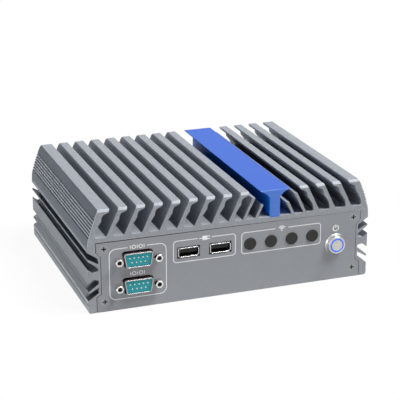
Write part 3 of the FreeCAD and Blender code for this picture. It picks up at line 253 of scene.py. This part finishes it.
def on_flank(face):
    """Whether a face is a flank of a fin."""
    return runs_along(face, *FLANKS) and abs(face.normal.z) < FLANK_LEAN and not on_shoulder(face)


def on_skirt(face):
    """Whether a face belongs to the strip below the side slots."""
    return runs_along(face, *SKIRT)


def on_end_or_rib(face):
    """Whether a face is a sawn end, or the outside of a rib between two side slots."""
    return abs(face.normal.y) > FACING or runs_along(face, *RIBS)


def is_undercut(face):
    """Whether a face of a side slot looks down or inwards, or is the bottom of a lower slot."""
    middle = face.calc_center_median()
    return in_slot(face) and (face.normal.z < -EDGE_ON or face.normal.x * middle.x < 0
                              or (middle.z < LOWER_SLOTS_TOP and abs(face.normal.z) < EDGE_ON))


def in_groove(face):
    """Whether a face belongs to the fine groove along the skirt."""
    return runs_along(face, *SKIRT_GROOVE)


def on_slot_floor(face):
    """Whether a face is the floor of a lower side slot, which slopes up and in."""
    return in_slot(face) and face.calc_center_median().z < SLOT_FLOORS_TOP and face.normal.z > EDGE_ON


def at_highlight_edge(face):
    """Whether a rounded edge's face lies across a fin's cap or along a shoulder's outline."""
    middle = face.calc_center_median()
    return length_along(face) < END_LENGTH and (
        middle.z > CAPS_LEVEL or (abs(middle.x) > OUTLINE_OUT and middle.z > SLOTS_TOP))


SHOULDER, EDGE, LAND, SLOT, FLANK, END, SKIRT_FACE, UNDERSIDE, SLOT_FLOOR = range(1, 10)
housing_finishes = [
    finish(name, colour, metallic=0.07, roughness=0.38, vary=vary, grain=1400, bump=0.3, specular=0.04,
           fade=fade)
    for name, colour, vary, fade in (
        ("anodised_grey", HOUSING_GREY, 0.24, None), ("anodised_shoulder_painted_shade", SHOULDER_SHADE_GREY, 0.24, None),
        ("anodised_edge_painted_highlight", EDGE_HIGHLIGHT_GREY, 0.15, None), ("anodised_land_painted_highlight", LAND_HIGHLIGHT_GREY, 0.15, None),
        ("anodised_slot_painted_light", SLOT_LIT_GREY, 0.15, None), ("anodised_flank_painted_shade", FLANK_SHADE_GREY, 0.2, ROOT_SHADE_FADE),
        ("anodised_end_painted_shade", END_SHADE_GREY, 0.1, None), ("anodised_skirt_painted_light", SKIRT_LIT_GREY, 0.15, None),
        ("anodised_underside_painted_shade", UNDERSIDE_SHADE_GREY, 0.2, None),
        ("lower_slot_floor_painted_light_and_shade", SKIRT_LIT_GREY, 0.15, SLOT_END_SHADE_FADE))]
housing = copy_solid("heatsink_housing")
# Each region of the housing is painted its grey: the darker ones are painted shade, the lighter ones painted
# light.
for index, chosen in ((SHOULDER, on_shoulder), (LAND, on_land), (SLOT, in_slot), (FLANK, on_flank),
                      (SKIRT_FACE, on_skirt), (END, on_end_or_rib), (UNDERSIDE, is_undercut),
                      (UNDERSIDE, in_groove), (SLOT_FLOOR, on_slot_floor)):
    paint(housing.faces, index, chosen)
# The rounded edges across the fins' caps and along the shoulders' outlines are painted brighter: a painted
# highlight.
for edge, low, high in ((HOUSING_EDGE, SLOTS_TOP, FAR), (SLOT_EDGE, -FAR, SLOTS_TOP)):
    paint(round_edges(housing, edge, low=low, high=high), EDGE, at_highlight_edge)
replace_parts(add_piece("extruded_housing", housing, housing_finishes), "heatsink_housing")

# The blue bar is a second extrusion with a T section. Its stem stands in a seat in the roof, and it is
# anodised a clear blue.
BAR_BLUE = (0.038, 0.133, 0.6)
BAR_END_LIT_BLUE = (0.085, 0.2, 0.63)
BAR_STEM_LIT_BLUE = (0.02, 0.24, 0.95)
BAR_EDGE = 0.15 * MM
BAR_END_TURN = 0.6

BAR_END, BAR_STEM = range(1, 3)
bar_finishes = [finish(name, colour, roughness=0.45, vary=0.05, grain=1200, bump=0.06, specular=0.2)
                for name, colour in (("anodised_blue", BAR_BLUE), ("anodised_blue_end_painted_light", BAR_END_LIT_BLUE),
                                     ("anodised_blue_stem_painted_light", BAR_STEM_LIT_BLUE))]
bar = copy_solid("blue_top_bar")
# The bar's upright faces, the stem's sides among them, and its ends are painted in lighter blues: painted
# light on faces that the lamps leave dim.
paint(bar.faces, BAR_STEM, lambda face: abs(face.normal.z) < FACING)
paint(bar.faces, BAR_END, lambda face: abs(face.normal.y) > BAR_END_TURN)
round_edges(bar, BAR_EDGE)
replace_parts(add_piece("blue_bar", bar, bar_finishes), "blue_top_bar")

# The front and rear plates and the bottom cover are cut from aluminium sheet, and coated grey to match the
# housing. Their cut rims and the walls of their holes are painted near black: painted shade for the seam
# round each plate and in the holes.
PLATE_GREY = (0.292, 0.304, 0.325)
RIM_SHADE_GREY = (0.03, 0.032, 0.036)
PLATE_EDGE = 0.1 * MM
DEPTH_AXIS = 1
LEVEL_AXIS = 2

PLATE_RIM = 1
plate_finishes = [
    finish("coated_plate", PLATE_GREY, roughness=0.55, vary=0.05, grain=1700, bump=0.1, specular=0.2),
    finish("plate_rim_painted_shade", RIM_SHADE_GREY, roughness=0.7, vary=0.2, grain=1700, bump=0.1, specular=0.05)]
for node, name, across in (("front_panel", "front_plate", DEPTH_AXIS),
                           ("rear_panel", "rear_plate", DEPTH_AXIS),
                           ("bottom_cover", "bottom_plate", LEVEL_AXIS)):
    plate = copy_solid(node)
    paint(plate.faces, PLATE_RIM, lambda face: abs(face.normal[across]) < EDGE_ON)
    round_edges(plate, PLATE_EDGE)
    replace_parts(add_piece(name, plate, plate_finishes), node)

# Twelve countersunk screws hold the plates and the cover. They are coated to match, and the cross recess in
# each head is painted black: painted shade. The four press nuts in the cover are zinc plated.
SCREW_GREY = (0.33, 0.34, 0.355)
RECESS_SHADE_BLACK = (0.01, 0.01, 0.011)
ZINC_GREY = (0.62, 0.63, 0.64)
PLATE_FACE = -71 * MM
PLATE_SCREW_OUT = 82.2 * MM
PLATE_SCREW_LEVELS = (6.4 * MM, 40.5 * MM)
COVER_SCREW_OUT = 83.6 * MM
COVER_SCREW_BACK = 44 * MM
HEAD_SKIN = 0.01 * MM
RECESS_DEPTH = 1.05 * MM
RECESS_REACH = 1.6 * MM
SCREW_EDGE = 0.06 * MM
SCREW_BROAD = 0.2 * MM


def in_recess(face, heads, across):
    """Whether a face belongs to a cross recess: near the middle of one of the heads, and behind its top."""
    for head in heads:
        away = face.calc_center_median() - head
        depth = abs(away[across])
        away[across] = 0
        if HEAD_SKIN < depth < RECESS_DEPTH and away.length < RECESS_REACH:
            return True
    return False


RECESS = 1
screw_finishes = [
    finish("coated_screw", SCREW_GREY, metallic=0.3, roughness=0.45, vary=0.08, grain=2500, bump=0.1),
    finish("recess_painted_shade", RECESS_SHADE_BLACK, roughness=0.6, vary=0.2, grain=2500, bump=0.1, specular=0.05)]
for node, name, across, out, along, up in (
        ("front_panel_screws", "front_plate_screws", DEPTH_AXIS, PLATE_SCREW_OUT, (PLATE_FACE,),
         PLATE_SCREW_LEVELS),
        ("rear_panel_screws", "rear_plate_screws", DEPTH_AXIS, PLATE_SCREW_OUT, (-PLATE_FACE,),
         PLATE_SCREW_LEVELS),
        ("bottom_cover_screws", "bottom_plate_screws", LEVEL_AXIS, COVER_SCREW_OUT,
         (-COVER_SCREW_BACK, COVER_SCREW_BACK), (0,))):
    heads = [Vector(head) for head in product((-out, out), along, up)]
    screws = copy_solid(node)
    paint(screws.faces, RECESS, lambda face: in_recess(face, heads, across))
    round_edges(screws, SCREW_EDGE, SCREW_BROAD)
    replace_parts(add_piece(name, screws, screw_finishes), node)

zinc = finish("zinc_plate", ZINC_GREY, metallic=1.0, roughness=0.34, vary=0.08, grain=900, bump=0.08)
dress("bottom_press_nuts", zinc)

# The marks on the front plate are screen printed in white ink: a frame round each group of ports, broken
# where its symbol stands, and plain symbols of bars and rings, a plug, an aerial and the on-off sign.
INK_WHITE = (0.84, 0.85, 0.86)
INK = 0.03 * MM
FRAME_LINE = 0.5 * MM
SYMBOL_LINE = 0.5 * MM
POWER_LINE = 0.7 * MM
TOWARDS_EYE = (0, -1, 0)
BEND_STEPS = 6
RING_STEPS = 28
CLOSED_TURN = math.tau - 0.01

ink_finish = finish("white_ink", INK_WHITE, roughness=0.6, vary=0.04, grain=2600, bump=0.05)
marks = bmesh.new()


class Pen:
    """The end of a printed line: an edge as wide as the line, drawn out straight or swung round a bend."""

    def __init__(self, x, z, heading, line=SYMBOL_LINE):
        self.place = Vector((x, PLATE_FACE - INK, z))
        self.heading = Vector((math.cos(heading), 0, math.sin(heading)))
        self.left = Vector(TOWARDS_EYE).cross(self.heading)
        ends = [marks.verts.new(self.place + self.left * side * line / 2) for side in (-1, 1)]
        self.edge = marks.edges.new(ends)

    def straight(self, length):
        """Draw a straight stretch."""
        drawn = bmesh.ops.extrude_edge_only(marks, edges=[self.edge])["geom"]
        ends = [part for part in drawn if isinstance(part, bmesh.types.BMVert)]
        bmesh.ops.translate(marks, vec=self.heading * length, verts=ends)
        self.place += self.heading * length
        self.edge = next(part for part in drawn if isinstance(part, bmesh.types.BMEdge)
                         and all(end in ends for end in part.verts))

    def bend(self, radius, angle, steps=BEND_STEPS):
        """Swing round a bend, to the left where the angle is above zero."""
        centre = self.place + self.left * math.copysign(radius, angle)
        drawn = bmesh.ops.spin(marks, geom=[self.edge, *self.edge.verts], cent=centre, axis=TOWARDS_EYE,
                               angle=angle, steps=steps, use_merge=abs(angle) > CLOSED_TURN)
        turn = Matrix.Rotation(angle, 3, TOWARDS_EYE)
        self.place = centre + turn @ (self.place - centre)
        self.heading = turn @ self.heading
        self.left = turn @ self.left
        self.edge = next((part for part in drawn["geom_last"] if isinstance(part, bmesh.types.BMEdge)), None)


def frame_line(left, right, low, high, corner, gap, half_gap):
    """A printed frame with round corners, drawn from the gap in its top line clockwise back to it."""
    pen = Pen(gap + half_gap, high, 0, FRAME_LINE)
    pen.straight(right - corner - gap - half_gap)
    for run in (high - low, right - left, high - low):
        pen.bend(corner, -math.pi / 2)
        pen.straight(run - 2 * corner)
    pen.bend(corner, -math.pi / 2)
    pen.straight(gap - half_gap - left - corner)


def ring(x, z, radius, half_gap=0.0, line=SYMBOL_LINE):
    """A printed ring, open at its top by half_gap to each side, drawn clockwise."""
    rise = math.asin(half_gap / radius)
    pen = Pen(x + radius * math.sin(rise), z + radius * math.cos(rise), -rise, line)
    pen.bend(radius, 2 * rise - math.tau, RING_STEPS)


SERIAL_X = -61.4 * MM
SERIAL_LEVELS = (39.7 * MM, 22.6 * MM)
SERIAL_STEP = 2.15 * MM
SERIAL_RING = 1.1 * MM
frame_line(left=-79.05 * MM, right=-43.1 * MM, low=7 * MM, high=39.7 * MM, corner=4 * MM, gap=SERIAL_X,
           half_gap=6.1 * MM)
for z in SERIAL_LEVELS:
    for step in (-2, 0, 2):
        Pen(SERIAL_X + step * SERIAL_STEP, z - SERIAL_RING, math.pi / 2).straight(2 * SERIAL_RING)
    for step in (-1, 1):
        ring(SERIAL_X + step * SERIAL_STEP, z, SERIAL_RING)

PLUG_X = -18.3 * MM
PLUG_Z = 39.6 * MM
PLUG_CORD = 2 * MM
PLUG_BODY = 3.2 * MM
PLUG_WIDTH = 2.8 * MM
PRONG = 1.9 * MM
PRONG_OUT = 0.8 * MM
PRONG_LINE = 0.6 * MM
plug_start = PLUG_X - 1.5 * MM
frame_line(left=-38.4 * MM, right=1.9 * MM, low=25.7 * MM, high=39.7 * MM, corner=2 * MM, gap=PLUG_X,
           half_gap=4.6 * MM)
Pen(plug_start - PLUG_CORD, PLUG_Z, 0).straight(PLUG_CORD)
Pen(plug_start, PLUG_Z, 0, PLUG_WIDTH).straight(PLUG_BODY)
for side in (-1, 1):
    Pen(plug_start + PLUG_BODY, PLUG_Z + side * PRONG_OUT, 0, PRONG_LINE).straight(PRONG)

AERIAL_X = 32.9 * MM
AERIAL_Z = 38 * MM
WAVE_RADII = (1.2 * MM, 2 * MM, 2.8 * MM)
WAVE = math.radians(50)
frame_line(left=6.1 * MM, right=59.5 * MM, low=25.6 * MM, high=39.5 * MM, corner=2 * MM, gap=AERIAL_X,
           half_gap=4.4 * MM)
ring(AERIAL_X, AERIAL_Z, SYMBOL_LINE / 2)
for radius in WAVE_RADII:
    Pen(AERIAL_X - radius * math.sin(WAVE), AERIAL_Z + radius * math.cos(WAVE), WAVE).bend(radius, -2 * WAVE)

POWER_X = 70.1 * MM
POWER_Z = 34.6 * MM
POWER_RING = 1.85 * MM
POWER_GAP = 0.8 * MM
STROKE = 2.1 * MM
STROKE_START = 0.3 * MM
ring(POWER_X, POWER_Z, POWER_RING, POWER_GAP, POWER_LINE)
Pen(POWER_X, POWER_Z + STROKE_START, math.pi / 2, POWER_LINE).straight(STROKE)

lifted = bmesh.ops.extrude_face_region(marks, geom=marks.faces[:])["geom"]
bmesh.ops.translate(marks, vec=(0, INK, 0),
                    verts=[part for part in lifted if isinstance(part, bmesh.types.BMVert)])
bmesh.ops.recalc_face_normals(marks, faces=marks.faces)
add_piece("printed_marks", marks, ink_finish)

# Each serial port is a drawn, nickel-plated steel shell with a D mouth, a moulded teal insulator and nine
# turned contacts. Two hexagon jackscrews hold it and take the plug's screws, and its contacts are soldered to
# an upright board.
NICKEL = (0.7, 0.69, 0.69)
SHELL_NICKEL = (0.54, 0.49, 0.5)
BRIGHT_NICKEL = (0.78, 0.77, 0.76)
BORE_SHADE_GREY = (0.24, 0.23, 0.22)
TEAL = (0.02, 0.32, 0.36)
CONTACT_PLATING = (0.8, 0.74, 0.68)
BOARD_GREEN = (0.012, 0.11, 0.045)
SHELL_EDGE = 0.12 * MM
SHELL_BROAD = 0.3 * MM
JACKSCREW_EDGE = 0.2 * MM
JACKSCREW_BROAD = 0.4 * MM
HEXAGON = 6
BORE_REACH = 1.7 * MM
ROUND_SLACK = 0.05 * MM


def is_round(face):
    """Whether a face is a small flat disc, such as the bottom of a bore."""
    reach = [(corner.vert.co - face.calc_center_median()).length for corner in face.loops]
    return len(reach) > HEXAGON and max(reach) < BORE_REACH and max(reach) - min(reach) < ROUND_SLACK


def in_bore(face):
    """Whether a face is a disc, or a wall that leads up from a disc that it meets at a hollow corner."""
    return is_round(face) or any(not line.is_convex for line in face.edges
                                 if any(is_round(side) for side in line.link_faces))


nickel = finish("nickel", NICKEL, metallic=1.0, roughness=0.16, vary=0.04, grain=700, bump=0.03)
shell_nickel = finish("shell_nickel", SHELL_NICKEL, metallic=1.0, roughness=0.2, vary=0.05, grain=700,
                      bump=0.03)
bright_nickel = finish("bright_nickel", BRIGHT_NICKEL, metallic=1.0, roughness=0.14, vary=0.06, grain=700,
                       bump=0.03)
bore_painted_shade = finish("bore_painted_shade", BORE_SHADE_GREY, roughness=0.6, vary=0.2, grain=700, bump=0.05, specular=0.1)
teal = finish("teal_moulding", TEAL, roughness=0.42, vary=0.08, grain=1600, bump=0.08)
contact_metal = finish("contact_plating", CONTACT_PLATING, metallic=0.7, roughness=0.3, vary=0.05, grain=1500,
                       bump=0.03)
board_green = finish("board_lacquer", BOARD_GREEN, roughness=0.35, vary=0.25, grain=260, bump=0.05)

BORE = 1
for end, ports in (("front", ("upper", "lower")), ("rear", ("1", "2", "3", "4"))):
    for port in ports:
        soften(f"{end}_serial_shell_{port}", f"{end}_port_shell_{port}", shell_nickel, SHELL_EDGE,
               SHELL_BROAD)
        dress(f"{end}_serial_insert_{port}", teal)
    dress(f"{end}_serial_pins", contact_metal)
    jackscrews = copy_solid(f"{end}_jackscrews")
    # The bores of the jackscrews are painted dark: painted shade.
    paint(jackscrews.faces, BORE, in_bore)
    round_edges(jackscrews, JACKSCREW_EDGE, JACKSCREW_BROAD)
    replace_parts(add_piece(f"{end}_hex_jackscrews", jackscrews, [bright_nickel, bore_painted_shade]),
                f"{end}_jackscrews")
    dress(f"{end}_serial_board", board_green)

# Each of the two USB sockets in the front is a folded, nickel-plated steel shell. It is flared to meet the
# plate, and stands round a black moulded tongue.
MOULDING_BLACK = (0.012, 0.012, 0.013)
USB_EDGE = 0.1 * MM
USB_BROAD = 0.25 * MM

black_moulding = finish("black_moulding", MOULDING_BLACK, roughness=0.38, vary=0.15, grain=900, bump=0.06)
for number in (1, 2):
    soften(f"front_usb_shell_{number}", f"usb_shell_{number}", nickel, USB_EDGE, USB_BROAD)
    dress(f"front_usb_tongue_{number}", black_moulding)

# Four soft rubber plugs close the holes that aerials would use. They are moulded, with a dull face and a
# rounded rim.
RUBBER_BLACK = (0.027, 0.026, 0.025)
RUBBER_EDGE = 0.08 * MM
RUBBER_BROAD = 0.2 * MM

rubber = finish("plug_rubber", RUBBER_BLACK, roughness=0.72, vary=0.12, grain=1300, bump=0.15)
for number in (1, 2, 3, 4):
    soften(f"antenna_hole_plug_{number}", f"aerial_plug_{number}", rubber, RUBBER_EDGE, RUBBER_BROAD)

# The push button has a satin chromed bezel on a threaded barrel, a brushed steel cap that travels into it,
# and a ring of clear plastic in the cap that is lit blue. A nut behind the plate holds it, and a coil spring
# and a block of contacts sit in and behind the barrel.
CHROME = (0.66, 0.65, 0.64)
CAP_STEEL = (0.6, 0.56, 0.53)
RING_BLUE = (0.001, 0.01, 0.06)
LIT_BLUE = (0.0, 0.17, 1.0)
LIT_STRENGTH = 1.0
SPRING_STEEL = (0.5, 0.5, 0.51)
BRUSHED = (0.05, 1, 1)
BEZEL_EDGE = 0.15 * MM
BEZEL_BROAD = 0.3 * MM
CAP_EDGE = 0.06 * MM
CAP_BROAD = 0.2 * MM

bezel_chrome = finish("bezel_chrome", CHROME, metallic=1.0, roughness=0.3, vary=0.03, grain=500, bump=0.02)
cap_steel = finish("brushed_cap", CAP_STEEL, metallic=0.8, roughness=0.36, vary=0.12, grain=1600, bump=0.12,
                   stretch=BRUSHED)
ring_light = finish("ring_light", RING_BLUE, roughness=0.5, vary=0.1, grain=700, bump=0.02, specular=0.0)
ring_shader = ring_light.node_tree.nodes["Principled BSDF"]
ring_shader.inputs["Emission Color"].default_value = (*LIT_BLUE, 1)
ring_shader.inputs["Emission Strength"].default_value = LIT_STRENGTH
spring_steel = finish("spring_steel", SPRING_STEEL, metallic=1.0, roughness=0.3, vary=0.06, grain=900,
                      bump=0.05)

soften("power_button_bezel", "button_bezel", bezel_chrome, BEZEL_EDGE, BEZEL_BROAD)
soften("power_button_cap", "button_cap", cap_steel, CAP_EDGE, CAP_BROAD, "power_button")
dress("power_button_light_ring", ring_light)
dress("power_button_nut", zinc)
dress("power_button_spring", spring_steel)
dress("power_button_contact_block", black_moulding)

# Inside, the mainboard hangs from the roof on brass standoffs. The processor's heat goes up through a soft
# pad and an aluminium block into the fins; memory, storage and the coin cell are on the underside.
BRASS = (0.62, 0.46, 0.2)
MILLED_ALUMINIUM = (0.66, 0.67, 0.68)
CHIP_BLACK = (0.02, 0.02, 0.022)
PAD_GREY = (0.18, 0.2, 0.22)

brass = finish("standoff_brass", BRASS, metallic=1.0, roughness=0.32, vary=0.06, grain=900, bump=0.05)
milled = finish("milled_aluminium", MILLED_ALUMINIUM, metallic=0.9, roughness=0.38, vary=0.05, grain=1500,
                bump=0.1, stretch=BRUSHED)
chip_black = finish("chip_moulding", CHIP_BLACK, roughness=0.6, vary=0.2, grain=1500, bump=0.1)
pad_grey = finish("soft_pad", PAD_GREY, roughness=0.85, vary=0.15, grain=800, bump=0.2)
for node, material in (("mainboard", board_green), ("board_standoffs", brass), ("board_screws", zinc),
                       ("cpu_package", chip_black), ("thermal_pad", pad_grey),
                       ("heat_spreader_block", milled), ("memory_socket", black_moulding),
                       ("memory_module", board_green), ("storage_socket", black_moulding),
                       ("storage_module", chip_black), ("coin_cell", zinc)):
    dress(node, material)

# The rear sockets stand on the mainboard's edge: power inlet, video, two network sockets in tinned shells and
# a pair of USB sockets, one above the other. Their mouths are black inside, partly for the black moulding
# within them and partly as painted shade on the inner walls of the metal shells.
SOCKET_RIM = 0.45 * MM
SOCKET_EDGE = 0.12 * MM
SOCKET_BROAD = 0.3 * MM


def in_mouth(face, low, high):
    """Whether a face is inside a socket: further in from every side of its box than the rim is thick."""
    middle = face.calc_center_median()
    return all(low[axis] + SOCKET_RIM < middle[axis] < high[axis] - SOCKET_RIM for axis in range(3))


MOUTH = 1
for node, name, material, slot in (
        ("dc_jack", "power_inlet", black_moulding, "black_plastic"),
        ("hdmi_socket", "video_socket", nickel, "nickel"),
        ("lan_socket_1", "network_socket_1", zinc, "zinc"),
        ("lan_socket_2", "network_socket_2", zinc, "zinc"),
        ("rear_usb_shell", "usb_pair_shell", nickel, "nickel")):
    low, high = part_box(node)
    socket = copy_solid(node)
    paint(socket.faces, MOUTH, lambda face: in_mouth(face, low, high))
    round_edges(socket, SOCKET_EDGE, SOCKET_BROAD)
    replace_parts(add_piece(name, socket, [material, black_moulding]), node)
dress("rear_usb_tongues", black_moulding)

# The computer stands on a plain pale studio floor, under one broad soft lamp far above it, to the front and
# to the right, with a weak fill from low on the left. The room is dim but for what the floor throws back.
FLOOR_HALF = 3.0
FLOOR_GAP = 0.05 * MM
FLOOR_WHITE = (0.88, 0.88, 0.88)
BACKGROUND_SHARE = 0.94
KEY_FROM = (0.42, -0.26, 0.87)
KEY_STRENGTH = 3.7
KEY_SPREAD = math.radians(28)
KEY_TINT = (1, 1, 1)
FILL_FROM = (-0.96, -0.15, 0.1)
FILL_STRENGTH = 0.9
FILL_SPREAD = math.radians(30)
FILL_TINT = (0.85, 0.93, 1.0)
ROOM_LIGHT = 0.07
BACKGROUND_LIGHT = 1.0


def seen_by_eye(tree):
    """A value that is 1 for what the camera sees directly, in a reflection or through glass."""
    path = tree.nodes.new("ShaderNodeLightPath")
    seen = path.outputs["Is Camera Ray"]
    for ray in ("Is Glossy Ray", "Is Transmission Ray"):
        add = tree.nodes.new("ShaderNodeMath")
        add.use_clamp = True
        tree.links.new(seen, add.inputs[0])
        tree.links.new(path.outputs[ray], add.inputs[1])
        seen = add.outputs[0]
    return seen


floor_finish = bpy.data.materials.new("studio_floor")
floor_finish.use_nodes = True
floor_tree = floor_finish.node_tree
floor_shader = floor_tree.nodes["Principled BSDF"]
floor_shader.inputs["Base Color"].default_value = (*FLOOR_WHITE, 1)
floor_shader.inputs["Roughness"].default_value = 0.9
floor_shader.inputs["Specular IOR Level"].default_value = 0.1
floor_glow = floor_tree.nodes.new("ShaderNodeEmission")
floor_share = floor_tree.nodes.new("ShaderNodeMath")
floor_share.operation = "MULTIPLY"
floor_share.inputs[1].default_value = BACKGROUND_SHARE
floor_mix = floor_tree.nodes.new("ShaderNodeMixShader")
floor_tree.links.new(seen_by_eye(floor_tree), floor_share.inputs[0])
floor_tree.links.new(floor_share.outputs[0], floor_mix.inputs["Fac"])
floor_tree.links.new(floor_shader.outputs[0], floor_mix.inputs[1])
floor_tree.links.new(floor_glow.outputs[0], floor_mix.inputs[2])
floor_tree.links.new(floor_mix.outputs[0], floor_tree.nodes["Material Output"].inputs["Surface"])

floor_mesh = bpy.data.meshes.new("studio_floor")
floor_work = bmesh.new()
bmesh.ops.create_grid(floor_work, x_segments=1, y_segments=1, size=FLOOR_HALF,
                      matrix=Matrix.Translation((0, 0, -FLOOR_GAP)))
floor_work.to_mesh(floor_mesh)
floor_work.free()
floor_mesh.materials.append(floor_finish)
floor = bpy.data.objects.new("studio_floor", floor_mesh)
bpy.context.scene.collection.objects.link(floor)

for name, source, strength, spread, tint in (("key_lamp", KEY_FROM, KEY_STRENGTH, KEY_SPREAD, KEY_TINT),
                                             ("fill_lamp", FILL_FROM, FILL_STRENGTH, FILL_SPREAD, FILL_TINT)):
    light = bpy.data.lights.new(name, "SUN")
    light.color = tint
    light.energy = strength
    light.angle = spread
    lamp = bpy.data.objects.new(name, light)
    lamp.rotation_euler = (-Vector(source)).to_track_quat("-Z", "Y").to_euler()
    bpy.context.scene.collection.objects.link(lamp)

world = bpy.data.worlds.new("studio")
bpy.context.scene.world = world
world.use_nodes = True
sky = world.node_tree.nodes["Background"]
sky.inputs["Color"].default_value = (1, 1, 1, 1)
brightness = world.node_tree.nodes.new("ShaderNodeMapRange")
brightness.inputs["To Min"].default_value = ROOM_LIGHT
brightness.inputs["To Max"].default_value = BACKGROUND_LIGHT
world.node_tree.links.new(seen_by_eye(world.node_tree), brightness.inputs["Value"])
world.node_tree.links.new(brightness.outputs["Result"], sky.inputs["Strength"])

# The camera stands in front, to the left and above, with a long lens. Its place, aim and lens were worked out
# from standard sizes in the ports.
CAMERA_PLACE = (-282.74 * MM, -790.7 * MM, 333.01 * MM)
CAMERA_AIM = (0.32216, 0.88692, -0.33104)
LENS = 121.04

lens = bpy.data.cameras.new("camera")
lens.lens = LENS
lens.sensor_width = 36
lens.clip_start = 0.01
camera = bpy.data.objects.new("camera", lens)
turn = Vector(CAMERA_AIM).to_track_quat("-Z", "Y").to_matrix().to_4x4()
camera.matrix_world = Matrix.Translation(CAMERA_PLACE) @ turn
bpy.context.scene.collection.objects.link(camera)
bpy.context.scene.camera = camera
bpy.context.scene.view_settings.view_transform = "Standard"
